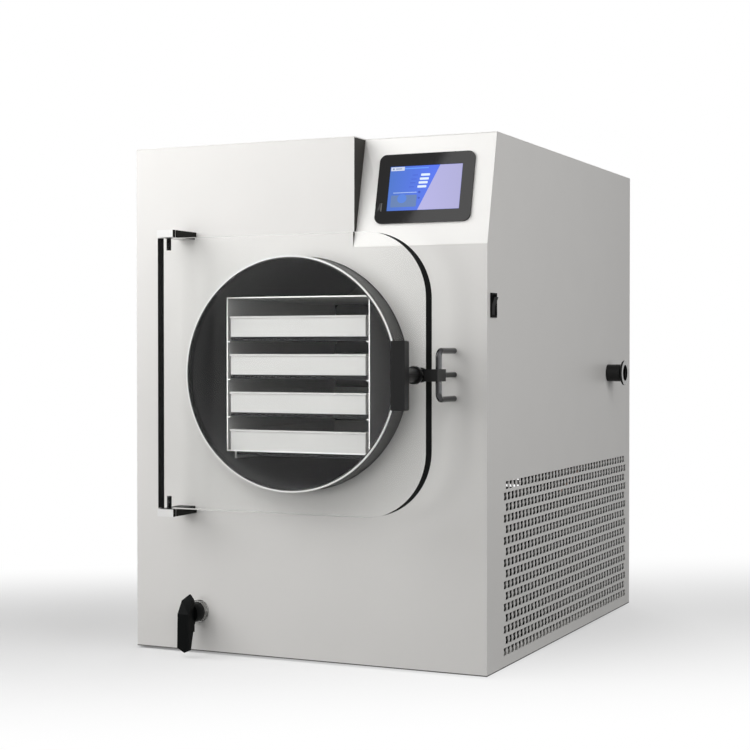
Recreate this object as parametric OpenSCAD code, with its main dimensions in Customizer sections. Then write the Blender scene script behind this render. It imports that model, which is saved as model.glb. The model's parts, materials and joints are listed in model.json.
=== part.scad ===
// Benchtop freeze dryer: vacuum chamber with a hinged clear door, sloped console,
// heated tray rack, refrigeration deck, side vacuum port and front drain valve.
// X runs to the right, Y runs from the front to the back, Z runs up. Millimetres.

/* [Cabinet] */
// Width of the cabinet
body_w = 550; // [530:5:700]
// Depth of the cabinet, without the door
body_d = 690; // [620:5:860]
// Height of the cabinet, without the feet
body_h = 730; // [700:5:900]
// Thickness of the sheet steel
sheet = 1.5; // [1:0.1:2]
// Height of the feet
foot_h = 3; // [2:1:20]
// Diameter of a foot
foot_d = 36; // [24:1:50]
// Distance from the cabinet's sides to a foot's centre
foot_inset = 50; // [35:1:80]

/* [Console] */
// Height of the sloped console
slope_h = 153; // [140:1:180]
// How far the console leans back at its top
slope_back = 36.6; // [20:0.2:60]
// Width of the upright hood beside the console
hood_w = 354.5; // [330:0.5:370]
// Width of the screen's bezel
bezel_w = 141; // [120:1:144]
// Height of the screen's bezel
bezel_h = 99; // [80:1:110]
// How far the bezel stands off the console
bezel_t = 3; // [2:0.5:6]
// Width of the display window
window_w = 107; // [90:1:112]
// Height of the display window
window_h = 64; // [50:1:70]
// Distance up the console to the bezel's centre
bezel_up = 81.5; // [70:0.5:90]

/* [Chamber] */
// Height of the chamber's axis above the bench
chamber_z = 405.5; // [400:0.5:440]
// Inner radius of the chamber
chamber_r = 160; // [130:1:165]
// Wall of the chamber
chamber_wall = 2.5; // [2:0.1:4]
// Depth of the chamber behind the front panel
chamber_depth = 360; // [300:5:400]
// How far the chamber's neck and gasket stand out of the front panel
neck_out = 41; // [34:1:60]
// Thickness of the insulation around the chamber
insulation_t = 19; // [12:1:25]
// Radius of the refrigerant coil's tube
coil_tube_r = 4; // [3:0.1:5]

/* [Trays] */
// Number of trays
tray_count = 4; // [4:1:4]
// Height of a tray
tray_h = 29; // [20:1:34]
// Length of a tray
tray_l = 330; // [260:5:340]

/* [Door] */
// Width of the clear door plate
door_w = 412; // [400:1:420]
// Height of the clear door plate
door_h = 382; // [360:1:400]
// Thickness of the clear door plate
door_t = 20; // [15:0.5:25]
// Radius of the door's right-hand corners
door_corner = 90; // [60:1:120]
// Distance from the door's left edge to the hinge pins
pin_inset = 13.5; // [11:0.5:16]
// Height of a hinge arm
arm_h = 10.5; // [8:0.5:14]
// Width of a hinge arm
arm_w = 26; // [22:1:30]

/* [Latch] */
// Distance from the door's right edge to the latch spindle
latch_inset = 14.5; // [14:0.5:20]
// Radius of the latch spindle
spindle_r = 5; // [4:0.5:6]
// Length of the bar handle
handle_l = 90; // [70:1:120]
// Width of the bar handle
handle_w = 20; // [16:1:24]
// Thickness of the bar handle
handle_t = 14; // [10:1:18]
// How far the handle's front stands off the door
handle_out = 58.7; // [45:0.1:70]
// Reach of the latch nose from the spindle
nose_reach = 32; // [30:0.5:36]
// Height of the hoop, between the centres of its legs
hoop_h = 64; // [50:1:90]
// Radius of the hoop's bar
hoop_r = 4; // [3:0.5:5]

/* [Side fittings] */
// Distance from the cabinet's back to the vacuum port
port_back = 129; // [110:1:200]
// Height of the vacuum port above the bench
port_z = 401; // [396:1:420]
// Bore radius of the vacuum port
port_bore_r = 12.5; // [8:0.5:16]
// Distance between the vent holes in a row
vent_pitch = 15.1; // [14:0.1:24]
// Distance between the rows of vent holes
vent_row_pitch = 15.25; // [15:0.05:24]
// Number of rows of vent holes
vent_rows = 16; // [4:1:16]
// Width of the power switch
switch_w = 22; // [18:1:28]
// Height of the power switch
switch_h = 33; // [28:1:40]

/* [Drain] */
// Distance of the drain valve to the left of the chamber's axis
drain_x = 169.5; // [150:0.5:200]
// Height of the drain valve above the bench
drain_z = 61.4; // [60:0.2:90]
// Width of the drain lever
lever_w = 18.4; // [16:0.2:26]

/* [Hidden] */
$fn = 48;

// Clearances
rest_gap = 0.3;          // between a seated piece and its seat, or two parts that pass
running_gap = 0.05;      // radial, between a shaft and its bore
slip_gap = 0.1;          // radial, between a fixed piece and its hole
bond_gap = 0.02;         // radial, between a piece and the part that it is pressed or glued into
neck_gap = 1;            // radial, between the chamber's neck and the front panel
cut = 1;                 // how far a cutting body runs past the face that it cuts

// Cabinet
half_w = body_w / 2;
top_z = foot_h + body_h;
panel_low = foot_h + sheet;
panel_high = top_z - sheet;
inner_x = half_w - sheet;
rear_y = body_d - sheet;
hood_x = hood_w - half_w;
slope_z = top_z - slope_h;
slope_angle = atan(slope_back / slope_h);
slope_sheet = sheet / cos(slope_angle);
cheek_fold = 6;
console_hole_room = 4;   // round the display window, on each side
bezel_corner = 10;
bezel_slot = [3, 13];
bezel_slot_at = [8.5, -26];
display_sunk = 0.6;
housing_room = 3;
housing_depth = 24;
pan_lip = 20;
lip_gap = 3.5;           // between the base pan's lips and the corner posts
post_leg = 20;
post_t = 1.5;
rail_drop = 12;          // from the power switch down to the side rail
screw_r = 2;
screw_head_r = 4;
screw_head_t = 2.2;
screw_l = 8;
screw_inset = 12;
screws_a_side = 4;
screw_low_gap = 10;      // above the bottom of the corner posts' legs
screw_high_gap = 30;
rear_slots = 12;
rear_slot = [150, 6];
rear_slot_pitch = 14;
rear_slot_z = 57;

// Chamber
shell_r = chamber_r + chamber_wall;
gasket_lip = 1;
gasket_web = 4.5;
gasket_grip = 8.5;
rim_y = gasket_web - neck_out;
back_plate_t = 6;
shell_back = chamber_depth + back_plate_t;
collar_wall = 3;
collar_l = 14;
spigot_y = 40;
spigot_r = 7;
spigot_bore = 5;
spigot_l = 14;
spigot_low = chamber_z - shell_r - spigot_l;
joint_swell = 0.4;       // how much fuller a pipe's ball joints are than the pipe
ball_turn = [33, 21, 0]; // keeps a ball's poles off the pipes
coil_gap = 0.5;
coil_r = shell_r + coil_tube_r + slip_gap;
jacket_in = coil_r + coil_tube_r + coil_gap;
jacket_r = jacket_in + insulation_t;
jacket_front = sheet + 4;
jacket_back = shell_back + coil_gap;
jacket_end = jacket_back + insulation_t;
coil_first = 75;
coil_pitch = 20;
coil_turns = floor((chamber_depth - coil_first) / coil_pitch);
header_r = coil_tube_r * 0.8;
header_angle = 60;       // of the coil's headers, below the level on both sides
header_x = coil_r * cos(header_angle);
header_z = chamber_z - coil_r * sin(header_angle);
header_end = jacket_end + 8;
cradle_t = 4;
cradle_half = 120;
cradle_top = chamber_z - 0.75 * jacket_r;
cradle_front = 62;
cradle_rear = chamber_depth - 5;
probe_rise = chamber_r - 30;
probe_r = 2;
probe_reach = 160;       // into the chamber
probe_tail = 24;         // out of the back plate
gland_r = 7;
gland_l = 18;

// Rack
rack_front = -15;
rack_t = 2;
rack_w = 1.4 * chamber_r;
rack_h = 1.3625 * chamber_r;
rack_top = chamber_z + 0.67375 * chamber_r;
rack_bottom = rack_top - rack_h;
tray_top_gap = 0.8;      // over the top tray's space
tray_pitch = (rack_h - 2 * rack_t - tray_top_gap) / tray_count;
rack_l = tray_l + 15;
shelf_t = 6;
ledge = 3.5;
tray_w = rack_w - 2 * (rack_t + ledge) - 2;
tray_wall = 1.2;
tray_hem = [2.4, 3];
foot_tab_x = 0.46 * rack_w;
foot_tab_t = 3;
foot_tab_inset = 10;     // from the rack's ends
shelf_front_step = 8;
shelf_rear_step = 2;

// Door
door_back = -(neck_out + rest_gap);
door_front = door_back - door_t;
door_mid = (door_front + door_back) / 2;
door_right = 212.5;
door_left = door_right - door_w;
door_low = chamber_z - door_h / 2;
door_high = chamber_z + door_h / 2;
pin_x = door_left + pin_inset;
pin_r = 2.5;
pin_depth = 16;
pin_end_gap = 1;
bush_r = 3.4;
bush_flange_r = 6;
hinge_gap = 1;
bush_flange_t = hinge_gap - rest_gap;
arm_front = door_mid - 13;
arm_groove = [6.6, 1.2, 0.6];
arm_screw_r = 2.5;
arm_screw_head_r = 4.5;
arm_screw_head_t = 4;
arm_screw_bite = 14;
arm_screw_spread = 14;

// Latch
latch_x = door_right - latch_inset;
bushing_r = spindle_r + 2;
bushing_flange_r = 11;
bushing_flange_t = 2;
cam_t = 6;
cam_back = door_front - bushing_flange_t - 0.5;
cam_front = cam_back - cam_t;
cam_r = 12;
nose_w = 14;
neck_r = 9.5;
handle_front = door_front - handle_out;
handle_back = handle_front + handle_t;
handle_edge = 2;
spindle_bite = 5;        // how far the spindle reaches into the bar handle
washer_t = 1.5;
washer_r = 10;
nut_r = 9;
nut_t = 8;
nut_start = door_back + rest_gap + washer_t;
nut_end = nut_start + nut_t;
hoop_x = door_right + 15.5;
hoop_y = cam_back + 8.8;
hoop_bend = 9;
hoop_leg_r = hoop_r - 0.5;
hoop_thread = 12;
keeper_half_h = 8;
keeper_wall = 4;
keeper_left = hoop_x - 8;
lip_left = door_right + 3.5;
lip_t = 5.5;
slot_left_play = 1;
slot_right = latch_x + nose_reach + slot_left_play;
keeper_right = slot_right + keeper_wall;
slot_front = cam_front - 0.6;
slot_back = cam_back + 1;
keeper_front = slot_front - lip_t;
keeper_back = hoop_y + hoop_r + keeper_wall;
hoop_nut_r = 6.5;
hoop_nut_t = 5;

// Drain
valve_r = 10;
valve_hub_r = 14.3;
valve_hub_back = -8;
valve_hub_front = -28;
valve_inner_end = 14;
valve_washer = [16.5, 2];
valve_nut_r = 15.5;
outlet_y = -21.9;
outlet_r = 5;
outlet_bore_r = 3.2;
outlet_z = drain_z - 27;
outlet_shoulder_r = 6;
outlet_shoulder_z = drain_z - valve_hub_r - 1.4;
lever_t = 15.8;
lever_tip_t = 5;
lever_top_t = 2;
lever_rise = 28;
lever_fall = 53.8;
lever_lean_z = 1;         // over the pin's axis, where the front starts to lean back
lever_left = [7.6, 19.3]; // the upper left corner, from the pin's axis
lever_peak = 2.7;         // how far the top's point lies to the right of the pin
lever_right = 20.7;       // height of the upper right corner over the pin's axis
lever_tip = [6.5, 3.5];   // how much higher its lower left and right corners are than its point
lever_splay = 0.9;        // how far its lower left corner stands out
lever_point = 1.8;        // how far the lower point lies to the right of the pin
lever_pin_r = 4;
lever_pin_end = valve_hub_front + 4;
lever_back = valve_hub_front - rest_gap;
lever_front = lever_back - lever_t;
lever_top = drain_z + lever_rise;
lever_low = drain_z - lever_fall;
hose_low_z = 137;

// Side port and switch
port_y = body_d - port_back;
port_wall = 1.5;
port_r = port_bore_r + port_wall;
port_out = 29;
port_flange_r = 20;
port_flange_t = 3;
port_taper = 3.5;
port_recess_r = port_bore_r + 0.5;
port_in = 35;
port_plate_r = 24;
port_plate_t = 3;
pipe_bore_r = port_bore_r + 0.5;
pipe_wall = 2.5;
vent_end = [5.2, 5.4];    // half of a vent hole's flat end, and its height over the middle
vent_lobe = [6.2, 4.2];   // half of its widest place, and that place's height
vent_waist = 4;           // half of its narrow middle
vent_front = 71;
vent_rear = 26;
vent_low_z = foot_h + 21.5;
vent_cols = floor((body_d - vent_front - vent_rear) / vent_pitch) + 1;
switch_y = 21.5;
switch_z = foot_h + 495.5;
switch_rim = 2;
switch_rim_t = 2;
switch_body_l = 22;
switch_body_w = switch_w - 2 * switch_rim;
switch_body_h = switch_h - 2 * switch_rim;
rocker_tilt = 10;
rocker_w = switch_w - 8;
rocker_half = switch_h / 2 - 4.3;
rocker_root = 5;         // how far it reaches behind its pins
rocker_chamfer = 3;
rocker_edge = 3.2;
rocker_valley = 4.2;
rocker_crest = 6;
rocker_pin_r = 1.2;
rocker_pin_half = rocker_w / 2 + 1.7;
rocker_swing = 1.2;      // room above and below the rocker for its tilt
rocker_pocket_l = 14;
rocker_pivot_x = half_w - 3;

// Refrigeration deck
core_right = inner_x - 24;
core_left = core_right - 45;
core_front = 90;
core_rear = 390;
core_low = panel_low + 12;
core_high = core_low + 210;
core_mid = (core_left + core_right) / 2;
core_end_t = 3;
fin_count = 24;
fin_t = 1;
core_tube_r = 5;
core_tubes = 6;
core_tube_end = 6;       // how far the tubes stand out of the fins
core_tube_front = core_front - core_tube_end;
core_tube_rear = core_rear + core_tube_end;
tube_pitch = (core_high - core_low) / core_tubes;
low_tube_z = core_low + tube_pitch / 2;
high_tube_z = core_high - tube_pitch / 2;
shroud_l = 50;
shroud_left = core_left - shroud_l;
fan_y = (core_front + core_rear) / 2;
fan_z = (core_low + core_high) / 2;
shroud_half = 110;
shroud_bore = 102;
fan_hub_r = 30;
fan_hub_half = 14;
fan_tip_r = 96;
fan_blade = [2, 40];
fan_blade_count = 5;
fan_pitch_angle = 32;
fan_shaft_r = 4;
fan_x = shroud_left + 24;
blade_root = 8;          // how deep a blade is sunk into the hub
shaft_bite = 28;         // into the motor
shaft_end_gap = 2;
motor_arm_t = 5;
motor_r = 35;
motor_l = 55;
motor_right = shroud_left - motor_arm_t;
shaft_end = motor_right - shaft_bite;
motor_arm_w = 12;
motor_arm_bite = 2;      // how deep the spider is sunk into the motor's face
motor_arm_l = shroud_half + 8;
comp_x = -130;
comp_y = body_d - 150;
comp_r = 80;
comp_h = 172;
comp_round = 22;
mount_h = 14;
comp_plate = [200, 130, 3];
comp_plate_low = panel_low + mount_h;
comp_low = comp_plate_low + comp_plate[2];
comp_high = comp_low + comp_h;
mount_spread = [85, 52];
mount_r = 11;
stub_top = comp_high + 15;
stub_x = 45;
stub_r = coil_tube_r + 1;
pipe_r = 3.2;            // of the runs outside the chamber's jacket
drier_r = 12;
drier_z = low_tube_z - 6;
drier_y = core_rear + 50;
drier_right = core_left - 20;
drier_left = drier_right - 90;
pipe_high_z = comp_high + 45;

// Electrics
box_size = [180, 60, 150];
box_left = -200;
box_low = top_z - 200;
supply_size = [100, 200, 50];
supply_corner = [-250, 100];
inlet_x = -220;
inlet_z = foot_h + 70;
inlet_flange = [34, 28, 3];
inlet_body = [28, 21, 26];
inlet_socket = [24, 16, 20];
inlet_pin = [2, 14, 4];
inlet_pin_pitch = 7;
inlet_pin_lift = 3;      // how much higher the middle pin stands

// Overall box, whose bottom centre is the origin
front_most = handle_front;
rear_most = body_d + max(inlet_flange[2], screw_head_t);
right_most = half_w + port_out;
middle_x = (right_most - half_w) / 2;
middle_y = (front_most + rear_most) / 2;

function slope_y(z) = (z - slope_z) * tan(slope_angle);
function tray_low_z(i) = rack_bottom + rack_t + (tray_count - i) * tray_pitch;
function tray_rim_z(i) = tray_low_z(i) + tray_h;
// The lowest tray stands on the rack's floor, and its heating pad is under that floor.
function shelf_top_z(i) = i == tray_count ? rack_bottom : tray_low_z(i);

// ---- helpers ----------------------------------------------------------------

// Colours a sub-part and moves it from the cabinet's frame to the part's frame.
module part(tint) {
    color(tint) translate([-middle_x, -middle_y, 0]) children();
}

// A box between any two opposite corners.
module span(a, b) {
    translate([min(a[0], b[0]), min(a[1], b[1]), min(a[2], b[2])])
        cube([abs(a[0] - b[0]), abs(a[1] - b[1]), abs(a[2] - b[2])]);
}

// An outline drawn in X and Z, from y back to y + t.
module front_slab(y, t) {
    translate([0, y + t, 0]) rotate([90, 0, 0]) linear_extrude(t) children();
}

// An outline drawn in Y and Z, from x to x + t.
module side_slab(x, t) {
    translate([x, 0, 0]) rotate([90, 0, 90]) linear_extrude(t) children();
}

module rod_x(y, z, x0, x1, r) {
    translate([x0, y, z]) rotate([0, 90, 0]) cylinder(h = x1 - x0, r = r);
}

module rod_y(x, z, y0, y1, r) {
    translate([x, y0, z]) rotate([-90, 0, 0]) cylinder(h = y1 - y0, r = r);
}

module rod_z(x, y, z0, z1, r) {
    translate([x, y, z0]) cylinder(h = z1 - z0, r = r);
}

// A hexagonal nut along Y with its bore.
module hex_y(x, z, y0, y1, r, bore) {
    difference() {
        translate([x, y0, z]) rotate([-90, 0, 0]) cylinder(h = y1 - y0, r = r, $fn = 6);
        rod_y(x, z, y0 - cut, y1 + cut, bore);
    }
}

// A profile of radius and distance back, turned round an axis along Y.
module turned_y(x, z) {
    translate([x, 0, z]) rotate([-90, 0, 0]) rotate_extrude($fn = 96) children();
}

// A profile of radius and distance to the right, turned round an axis along X.
module turned_x(y, z) {
    translate([0, y, z]) rotate([0, 90, 0]) rotate_extrude($fn = 96) children();
}

// A straight round bar from one point to another.
module bar(a, b, r) {
    d = b - a;
    flat = norm([d[0], d[1]]);
    translate(a) rotate([0, atan2(flat, d[2]), atan2(d[1], d[0])]) cylinder(h = norm(d), r = r);
}

// A round run through points, with a slightly fuller ball joint at each corner.
module run(points, r) {
    for (i = [0:len(points) - 2]) bar(points[i], points[i + 1], r);
    for (i = [1:len(points) - 2]) translate(points[i]) rotate(ball_turn) sphere(r = r + joint_swell);
}

// A rectangle with round corners, centred.
module soft_rect(w, h, r) {
    square([w, h - 2 * r], center = true);
    square([w - 2 * r, h], center = true);
    for (sx = [-1, 1]) {
        for (sy = [-1, 1]) {
            translate([sx * (w / 2 - r), sy * (h / 2 - r)]) circle(r = r);
        }
    }
}

// Places something on the console, with its Y up the slope and its Z outwards.
module on_console() {
    translate([(hood_x + half_w) / 2, 0, slope_z])
        rotate([90 - slope_angle, 0, 0])
            translate([0, bezel_up, 0]) children();
}

// An L-shaped post whose corner is at x, y and whose legs run towards dx and dy.
module angle_post(x, y, dx, dy, z0, z1) {
    span([x, y, z0], [x + dx * post_leg, y + dy * post_t, z1]);
    span([x, y, z0], [x + dx * post_t, y + dy * post_leg, z1]);
}

// An L-shaped rail along Y under the height z, against the side at x.
module angle_rail(x, dx, z, y0, y1) {
    span([x, y0, z - post_leg], [x + dx * post_t, y1, z]);
    span([x, y0, z - post_t], [x + dx * post_leg, y1, z]);
}

// The places of the screws that hold the rear panel.
module at_rear_screws() {
    low = panel_low + post_leg + screw_low_gap;
    high = panel_high - post_leg - screw_high_gap;
    for (side = [-1, 1]) {
        for (i = [0:screws_a_side - 1]) {
            translate([side * (inner_x - screw_inset), 0, low + i * (high - low) / (screws_a_side - 1)])
                children();
        }
    }
}

// The places of the four hinge-arm screws.
module at_hinge_screws() {
    for (z = [door_high + hinge_gap + arm_h / 2, door_low - hinge_gap - arm_h / 2]) {
        for (side = [-1, 1]) translate([pin_x + side * arm_screw_spread / 2, 0, z]) children();
    }
}

// The heights at which the hoop and the keeper reach the front panel.
hoop_leg_zs = [chamber_z - hoop_h / 2, chamber_z, chamber_z + hoop_h / 2];

// ---- cabinet ----------------------------------------------------------------

module base_pan() {
    lip_y = sheet + post_leg + lip_gap;
    part("silver") {
        span([-half_w, 0, foot_h], [half_w, body_d, panel_low]);
        for (side = [-1, 1]) {
            span([side * inner_x, lip_y, panel_low],
                 [side * (inner_x - sheet), body_d - lip_y, panel_low + pan_lip]);
        }
        for (y = [sheet, rear_y - sheet]) {
            span([-inner_x + lip_y, y, panel_low], [inner_x - lip_y, y + sheet, panel_low + pan_lip]);
        }
    }
}

module feet() {
    part("dimgray") {
        for (x = [-half_w + foot_inset, half_w - foot_inset]) {
            for (y = [foot_inset, body_d - foot_inset]) rod_z(x, y, 0, foot_h, foot_d / 2);
        }
    }
}

module front_panel() {
    part("gainsboro") difference() {
        union() {
            front_slab(0, sheet) polygon([
                [-half_w, panel_low], [half_w, panel_low], [half_w, slope_z],
                [hood_x, slope_z], [hood_x, panel_high], [-half_w, panel_high]
            ]);
            side_slab(hood_x - sheet, sheet) polygon([
                [0, slope_z], [cheek_fold, slope_z],
                [slope_y(panel_high) + cheek_fold, panel_high], [0, panel_high]
            ]);
        }
        rod_y(0, chamber_z, -cut, sheet + cut, shell_r + neck_gap);
        rod_y(-drain_x, drain_z, -cut, sheet + cut, valve_r + slip_gap);
        for (z = hoop_leg_zs) rod_y(hoop_x, z, -cut, sheet + cut, hoop_leg_r + slip_gap);
        at_hinge_screws() rod_y(0, 0, -cut, sheet + cut, arm_screw_r + slip_gap);
    }
}

module console_panel() {
    part("whitesmoke") difference() {
        side_slab(hood_x, half_w - hood_x) polygon([
            [0, slope_z], [slope_sheet, slope_z],
            [slope_y(panel_high) + slope_sheet, panel_high], [slope_y(panel_high), panel_high]
        ]);
        on_console() linear_extrude(8 * sheet, center = true)
            square([window_w + 2 * console_hole_room, window_h + 2 * console_hole_room], center = true);
    }
}

module top_cover() {
    part("gainsboro") translate([0, 0, panel_high]) linear_extrude(sheet) polygon([
        [-half_w, 0], [hood_x, 0], [hood_x, slope_back], [half_w, slope_back],
        [half_w, body_d], [-half_w, body_d]
    ]);
}

module left_side_panel() {
    part("lightgray") span([-half_w, sheet, panel_low], [-inner_x, rear_y, panel_high]);
}

// One vent hole: wide at its top and bottom, narrow in the middle.
module vent_hole() {
    polygon([
        [-vent_waist, 0], [-vent_lobe[0], -vent_lobe[1]], [-vent_end[0], -vent_end[1]],
        [vent_end[0], -vent_end[1]], [vent_lobe[0], -vent_lobe[1]], [vent_waist, 0],
        [vent_lobe[0], vent_lobe[1]], [vent_end[0], vent_end[1]],
        [-vent_end[0], vent_end[1]], [-vent_lobe[0], vent_lobe[1]]
    ]);
}

module right_side_panel() {
    part("lightgray") side_slab(inner_x, sheet) difference() {
        polygon([
            [sheet, panel_low], [rear_y, panel_low], [rear_y, panel_high],
            [slope_y(panel_high) + slope_sheet, panel_high], [slope_sheet, slope_z], [sheet, slope_z]
        ]);
        for (row = [0:vent_rows - 1]) {
            first = vent_front + (row % 2) * vent_pitch / 2;
            z = vent_low_z + row * vent_row_pitch;
            for (col = [0:vent_cols - 1 - row % 2]) translate([first + col * vent_pitch, z]) vent_hole();
        }
        translate([port_y, port_z]) circle(r = port_r + slip_gap);
        translate([switch_y, switch_z])
            square([switch_body_w + 2 * slip_gap, switch_body_h + 2 * slip_gap], center = true);
    }
}

module rear_panel() {
    part("lightgray") difference() {
        span([-half_w, rear_y, panel_low], [half_w, body_d, panel_high]);
        for (i = [0:rear_slots - 1]) {
            front_slab(rear_y - cut, sheet + 2 * cut) translate([0, rear_slot_z + i * rear_slot_pitch])
                square(rear_slot, center = true);
        }
        front_slab(rear_y - cut, sheet + 2 * cut) translate([inlet_x, inlet_z])
            square([inlet_body[0] + 2 * slip_gap, inlet_body[1] + 2 * slip_gap], center = true);
        at_rear_screws() rod_y(0, 0, rear_y - cut, body_d + cut, screw_r + slip_gap);
    }
}

module inner_frame() {
    rail_z = switch_z - switch_h / 2 - rail_drop;
    top_rail_front = slope_y(panel_high) + slope_sheet + 5;
    part("darkgray") difference() {
        union() {
            angle_post(-inner_x, sheet, 1, 1, panel_low, panel_high);
            angle_post(-inner_x, rear_y, 1, -1, panel_low, panel_high);
            angle_post(inner_x, rear_y, -1, -1, panel_low, panel_high);
            angle_post(inner_x, sheet, -1, 1, panel_low, rail_z);
            angle_rail(-inner_x, 1, panel_high, sheet, rear_y);
            angle_rail(inner_x, -1, panel_high, top_rail_front, rear_y);
            angle_rail(inner_x, -1, rail_z, sheet, rear_y);
            span([-inner_x, rear_y - post_t, panel_high - post_leg], [inner_x, rear_y, panel_high]);
        }
        at_rear_screws() rod_y(0, 0, rear_y - post_leg, body_d, screw_r + slip_gap);
    }
}

module rear_screws() {
    part("silver") at_rear_screws() {
        rod_y(0, 0, body_d - screw_l, body_d, screw_r);
        rod_y(0, 0, body_d, body_d + screw_head_t, screw_head_r);
    }
}

// ---- chamber ----------------------------------------------------------------

module chamber_shell() {
    part("darkgray") difference() {
        union() {
            turned_y(0, chamber_z) {
                translate([chamber_r, rim_y]) square([chamber_wall, chamber_depth - rim_y]);
                translate([0, chamber_depth]) square([shell_r, back_plate_t]);
            }
            rod_y(0, port_z, chamber_depth + cut, shell_back + collar_l, port_r + collar_wall);
            rod_z(0, spigot_y, spigot_low, chamber_z - shell_r + cut, spigot_r);
        }
        rod_y(0, port_z, chamber_depth - cut, shell_back + collar_l + cut, port_bore_r);
        rod_y(0, chamber_z + probe_rise, chamber_depth - cut, shell_back + cut, probe_r + slip_gap);
        rod_z(0, spigot_y, spigot_low - cut, chamber_z - chamber_r + 2 * cut, spigot_bore);
    }
}

module door_gasket() {
    part("white") turned_y(0, chamber_z) {
        translate([chamber_r - gasket_lip, -neck_out]) square([chamber_wall + 2 * gasket_lip, gasket_web]);
        for (r = [chamber_r - gasket_lip, shell_r]) {
            translate([r, rim_y - cut]) square([gasket_lip, gasket_grip + cut]);
        }
    }
}

module chamber_insulation() {
    part("khaki") difference() {
        turned_y(0, chamber_z) {
            translate([jacket_in, jacket_front]) square([insulation_t, jacket_end - jacket_front]);
            translate([0, jacket_back]) square([jacket_r, insulation_t]);
        }
        span([hood_x - sheet - coil_gap, jacket_front - cut, slope_z - coil_gap],
             [hood_x + coil_gap, cheek_fold + coil_gap, panel_high]);
        rod_y(0, port_z, jacket_back - cut, jacket_end + cut, port_r + collar_wall + cut);
        rod_y(0, chamber_z + probe_rise, jacket_back - cut, jacket_end + cut, gland_r + cut);
        rod_z(0, spigot_y, chamber_z - jacket_r - cut, chamber_z - shell_r, spigot_r + 2 * cut);
        for (x = [-header_x, header_x]) {
            rod_y(x, header_z, jacket_back - cut, jacket_end + cut, header_r + cut);
        }
    }
}

module cold_coil() {
    part("peru") {
        for (i = [0:coil_turns - 1]) {
            turned_y(0, chamber_z) translate([coil_r, coil_first + i * coil_pitch]) circle(r = coil_tube_r);
        }
        for (x = [-header_x, header_x]) rod_y(x, header_z, coil_first, header_end, header_r);
    }
}

module chamber_cradle() {
    part("darkgray") for (y = [cradle_front, cradle_rear]) {
        difference() {
            union() {
                span([-cradle_half, y, panel_low], [cradle_half, y + cradle_t, cradle_top]);
                span([-cradle_half, y, panel_low], [cradle_half, y + post_leg, panel_low + cradle_t]);
            }
            rod_y(0, chamber_z, y - cut, y + cradle_t + cut, jacket_r + rest_gap);
        }
    }
}

// ---- rack -------------------------------------------------------------------

module rack_frame() {
    wall_drop = sqrt(pow(chamber_r, 2) - pow(foot_tab_x + foot_tab_t / 2, 2));
    part("silver") {
        difference() {
            span([-rack_w / 2, rack_front, rack_bottom], [rack_w / 2, rack_front + rack_l, rack_top]);
            span([-rack_w / 2 + rack_t, rack_front - cut, rack_bottom + rack_t],
                 [rack_w / 2 - rack_t, rack_front + rack_l + cut, rack_top - rack_t]);
        }
        for (side = [-1, 1]) {
            for (i = [1:tray_count - 1]) {
                z = shelf_top_z(i) - shelf_t;
                span([side * (rack_w / 2 - rack_t - ledge), rack_front, z - rack_t],
                     [side * (rack_w / 2 - rack_t), rack_front + rack_l, z]);
            }
            x = side * foot_tab_x;
            span([x - foot_tab_t / 2, rack_front + foot_tab_inset, chamber_z - wall_drop + rest_gap],
                 [x + foot_tab_t / 2, rack_front + rack_l - foot_tab_inset, rack_bottom + rack_t]);
        }
    }
}

module heating_shelves() {
    part("dimgray") for (i = [1:tray_count]) {
        half = i == tray_count ? foot_tab_x - foot_tab_t : rack_w / 2 - rack_t - rest_gap;
        span([-half, rack_front + shelf_front_step, shelf_top_z(i) - shelf_t],
             [half, rack_front + rack_l - shelf_rear_step, shelf_top_z(i)]);
    }
}

module tray(i) {
    half = tray_w / 2;
    low = tray_low_z(i);
    rim = tray_rim_z(i);
    back = rack_front + tray_l;
    part("silver") difference() {
        union() {
            span([-half, rack_front, low], [half, back, rim]);
            span([-half - tray_hem[0] + tray_wall, rack_front - tray_hem[0] + tray_wall, rim - tray_hem[1]],
                 [half + tray_hem[0] - tray_wall, back + tray_hem[0] - tray_wall, rim]);
        }
        span([-half + tray_wall, rack_front + tray_wall, low + tray_wall],
             [half - tray_wall, back - tray_wall, rim + cut]);
    }
}

module temperature_probe() {
    z = chamber_z + probe_rise;
    part("silver") {
        rod_y(0, z, chamber_depth - probe_reach, shell_back + probe_tail, probe_r);
        rod_y(0, z, shell_back, shell_back + gland_l, gland_r);
    }
}

// ---- door -------------------------------------------------------------------

module door_plate() {
    part("lightcyan") difference() {
        front_slab(door_front, door_t) union() {
            translate([door_left, door_low]) square([door_w - door_corner, door_h]);
            translate([door_right - door_corner, door_low + door_corner])
                square([door_corner, door_h - 2 * door_corner]);
            for (z = [door_low + door_corner, door_high - door_corner]) {
                translate([door_right - door_corner, z]) circle(r = door_corner, $fn = 96);
            }
        }
        rod_z(pin_x, door_mid, door_low - cut, door_low + pin_depth + hinge_gap, bush_r + bond_gap);
        rod_z(pin_x, door_mid, door_high - pin_depth - hinge_gap, door_high + cut, bush_r + bond_gap);
        rod_y(latch_x, chamber_z, door_front - cut, door_back + cut, bushing_r + bond_gap);
    }
}

// A flanged bush in the door's upper edge; the flange fills the gap under the arm.
module hinge_bush() {
    difference() {
        union() {
            rod_z(pin_x, door_mid, door_high - pin_depth, door_high + cut / 2, bush_r);
            rod_z(pin_x, door_mid, door_high, door_high + bush_flange_t, bush_flange_r);
        }
        rod_z(pin_x, door_mid, door_high - pin_depth - cut, door_high + 2 * cut, pin_r + running_gap);
    }
}

module hinge_bushes() {
    part("black") {
        hinge_bush();
        translate([0, 0, 2 * chamber_z]) mirror([0, 0, 1]) hinge_bush();
    }
}

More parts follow.
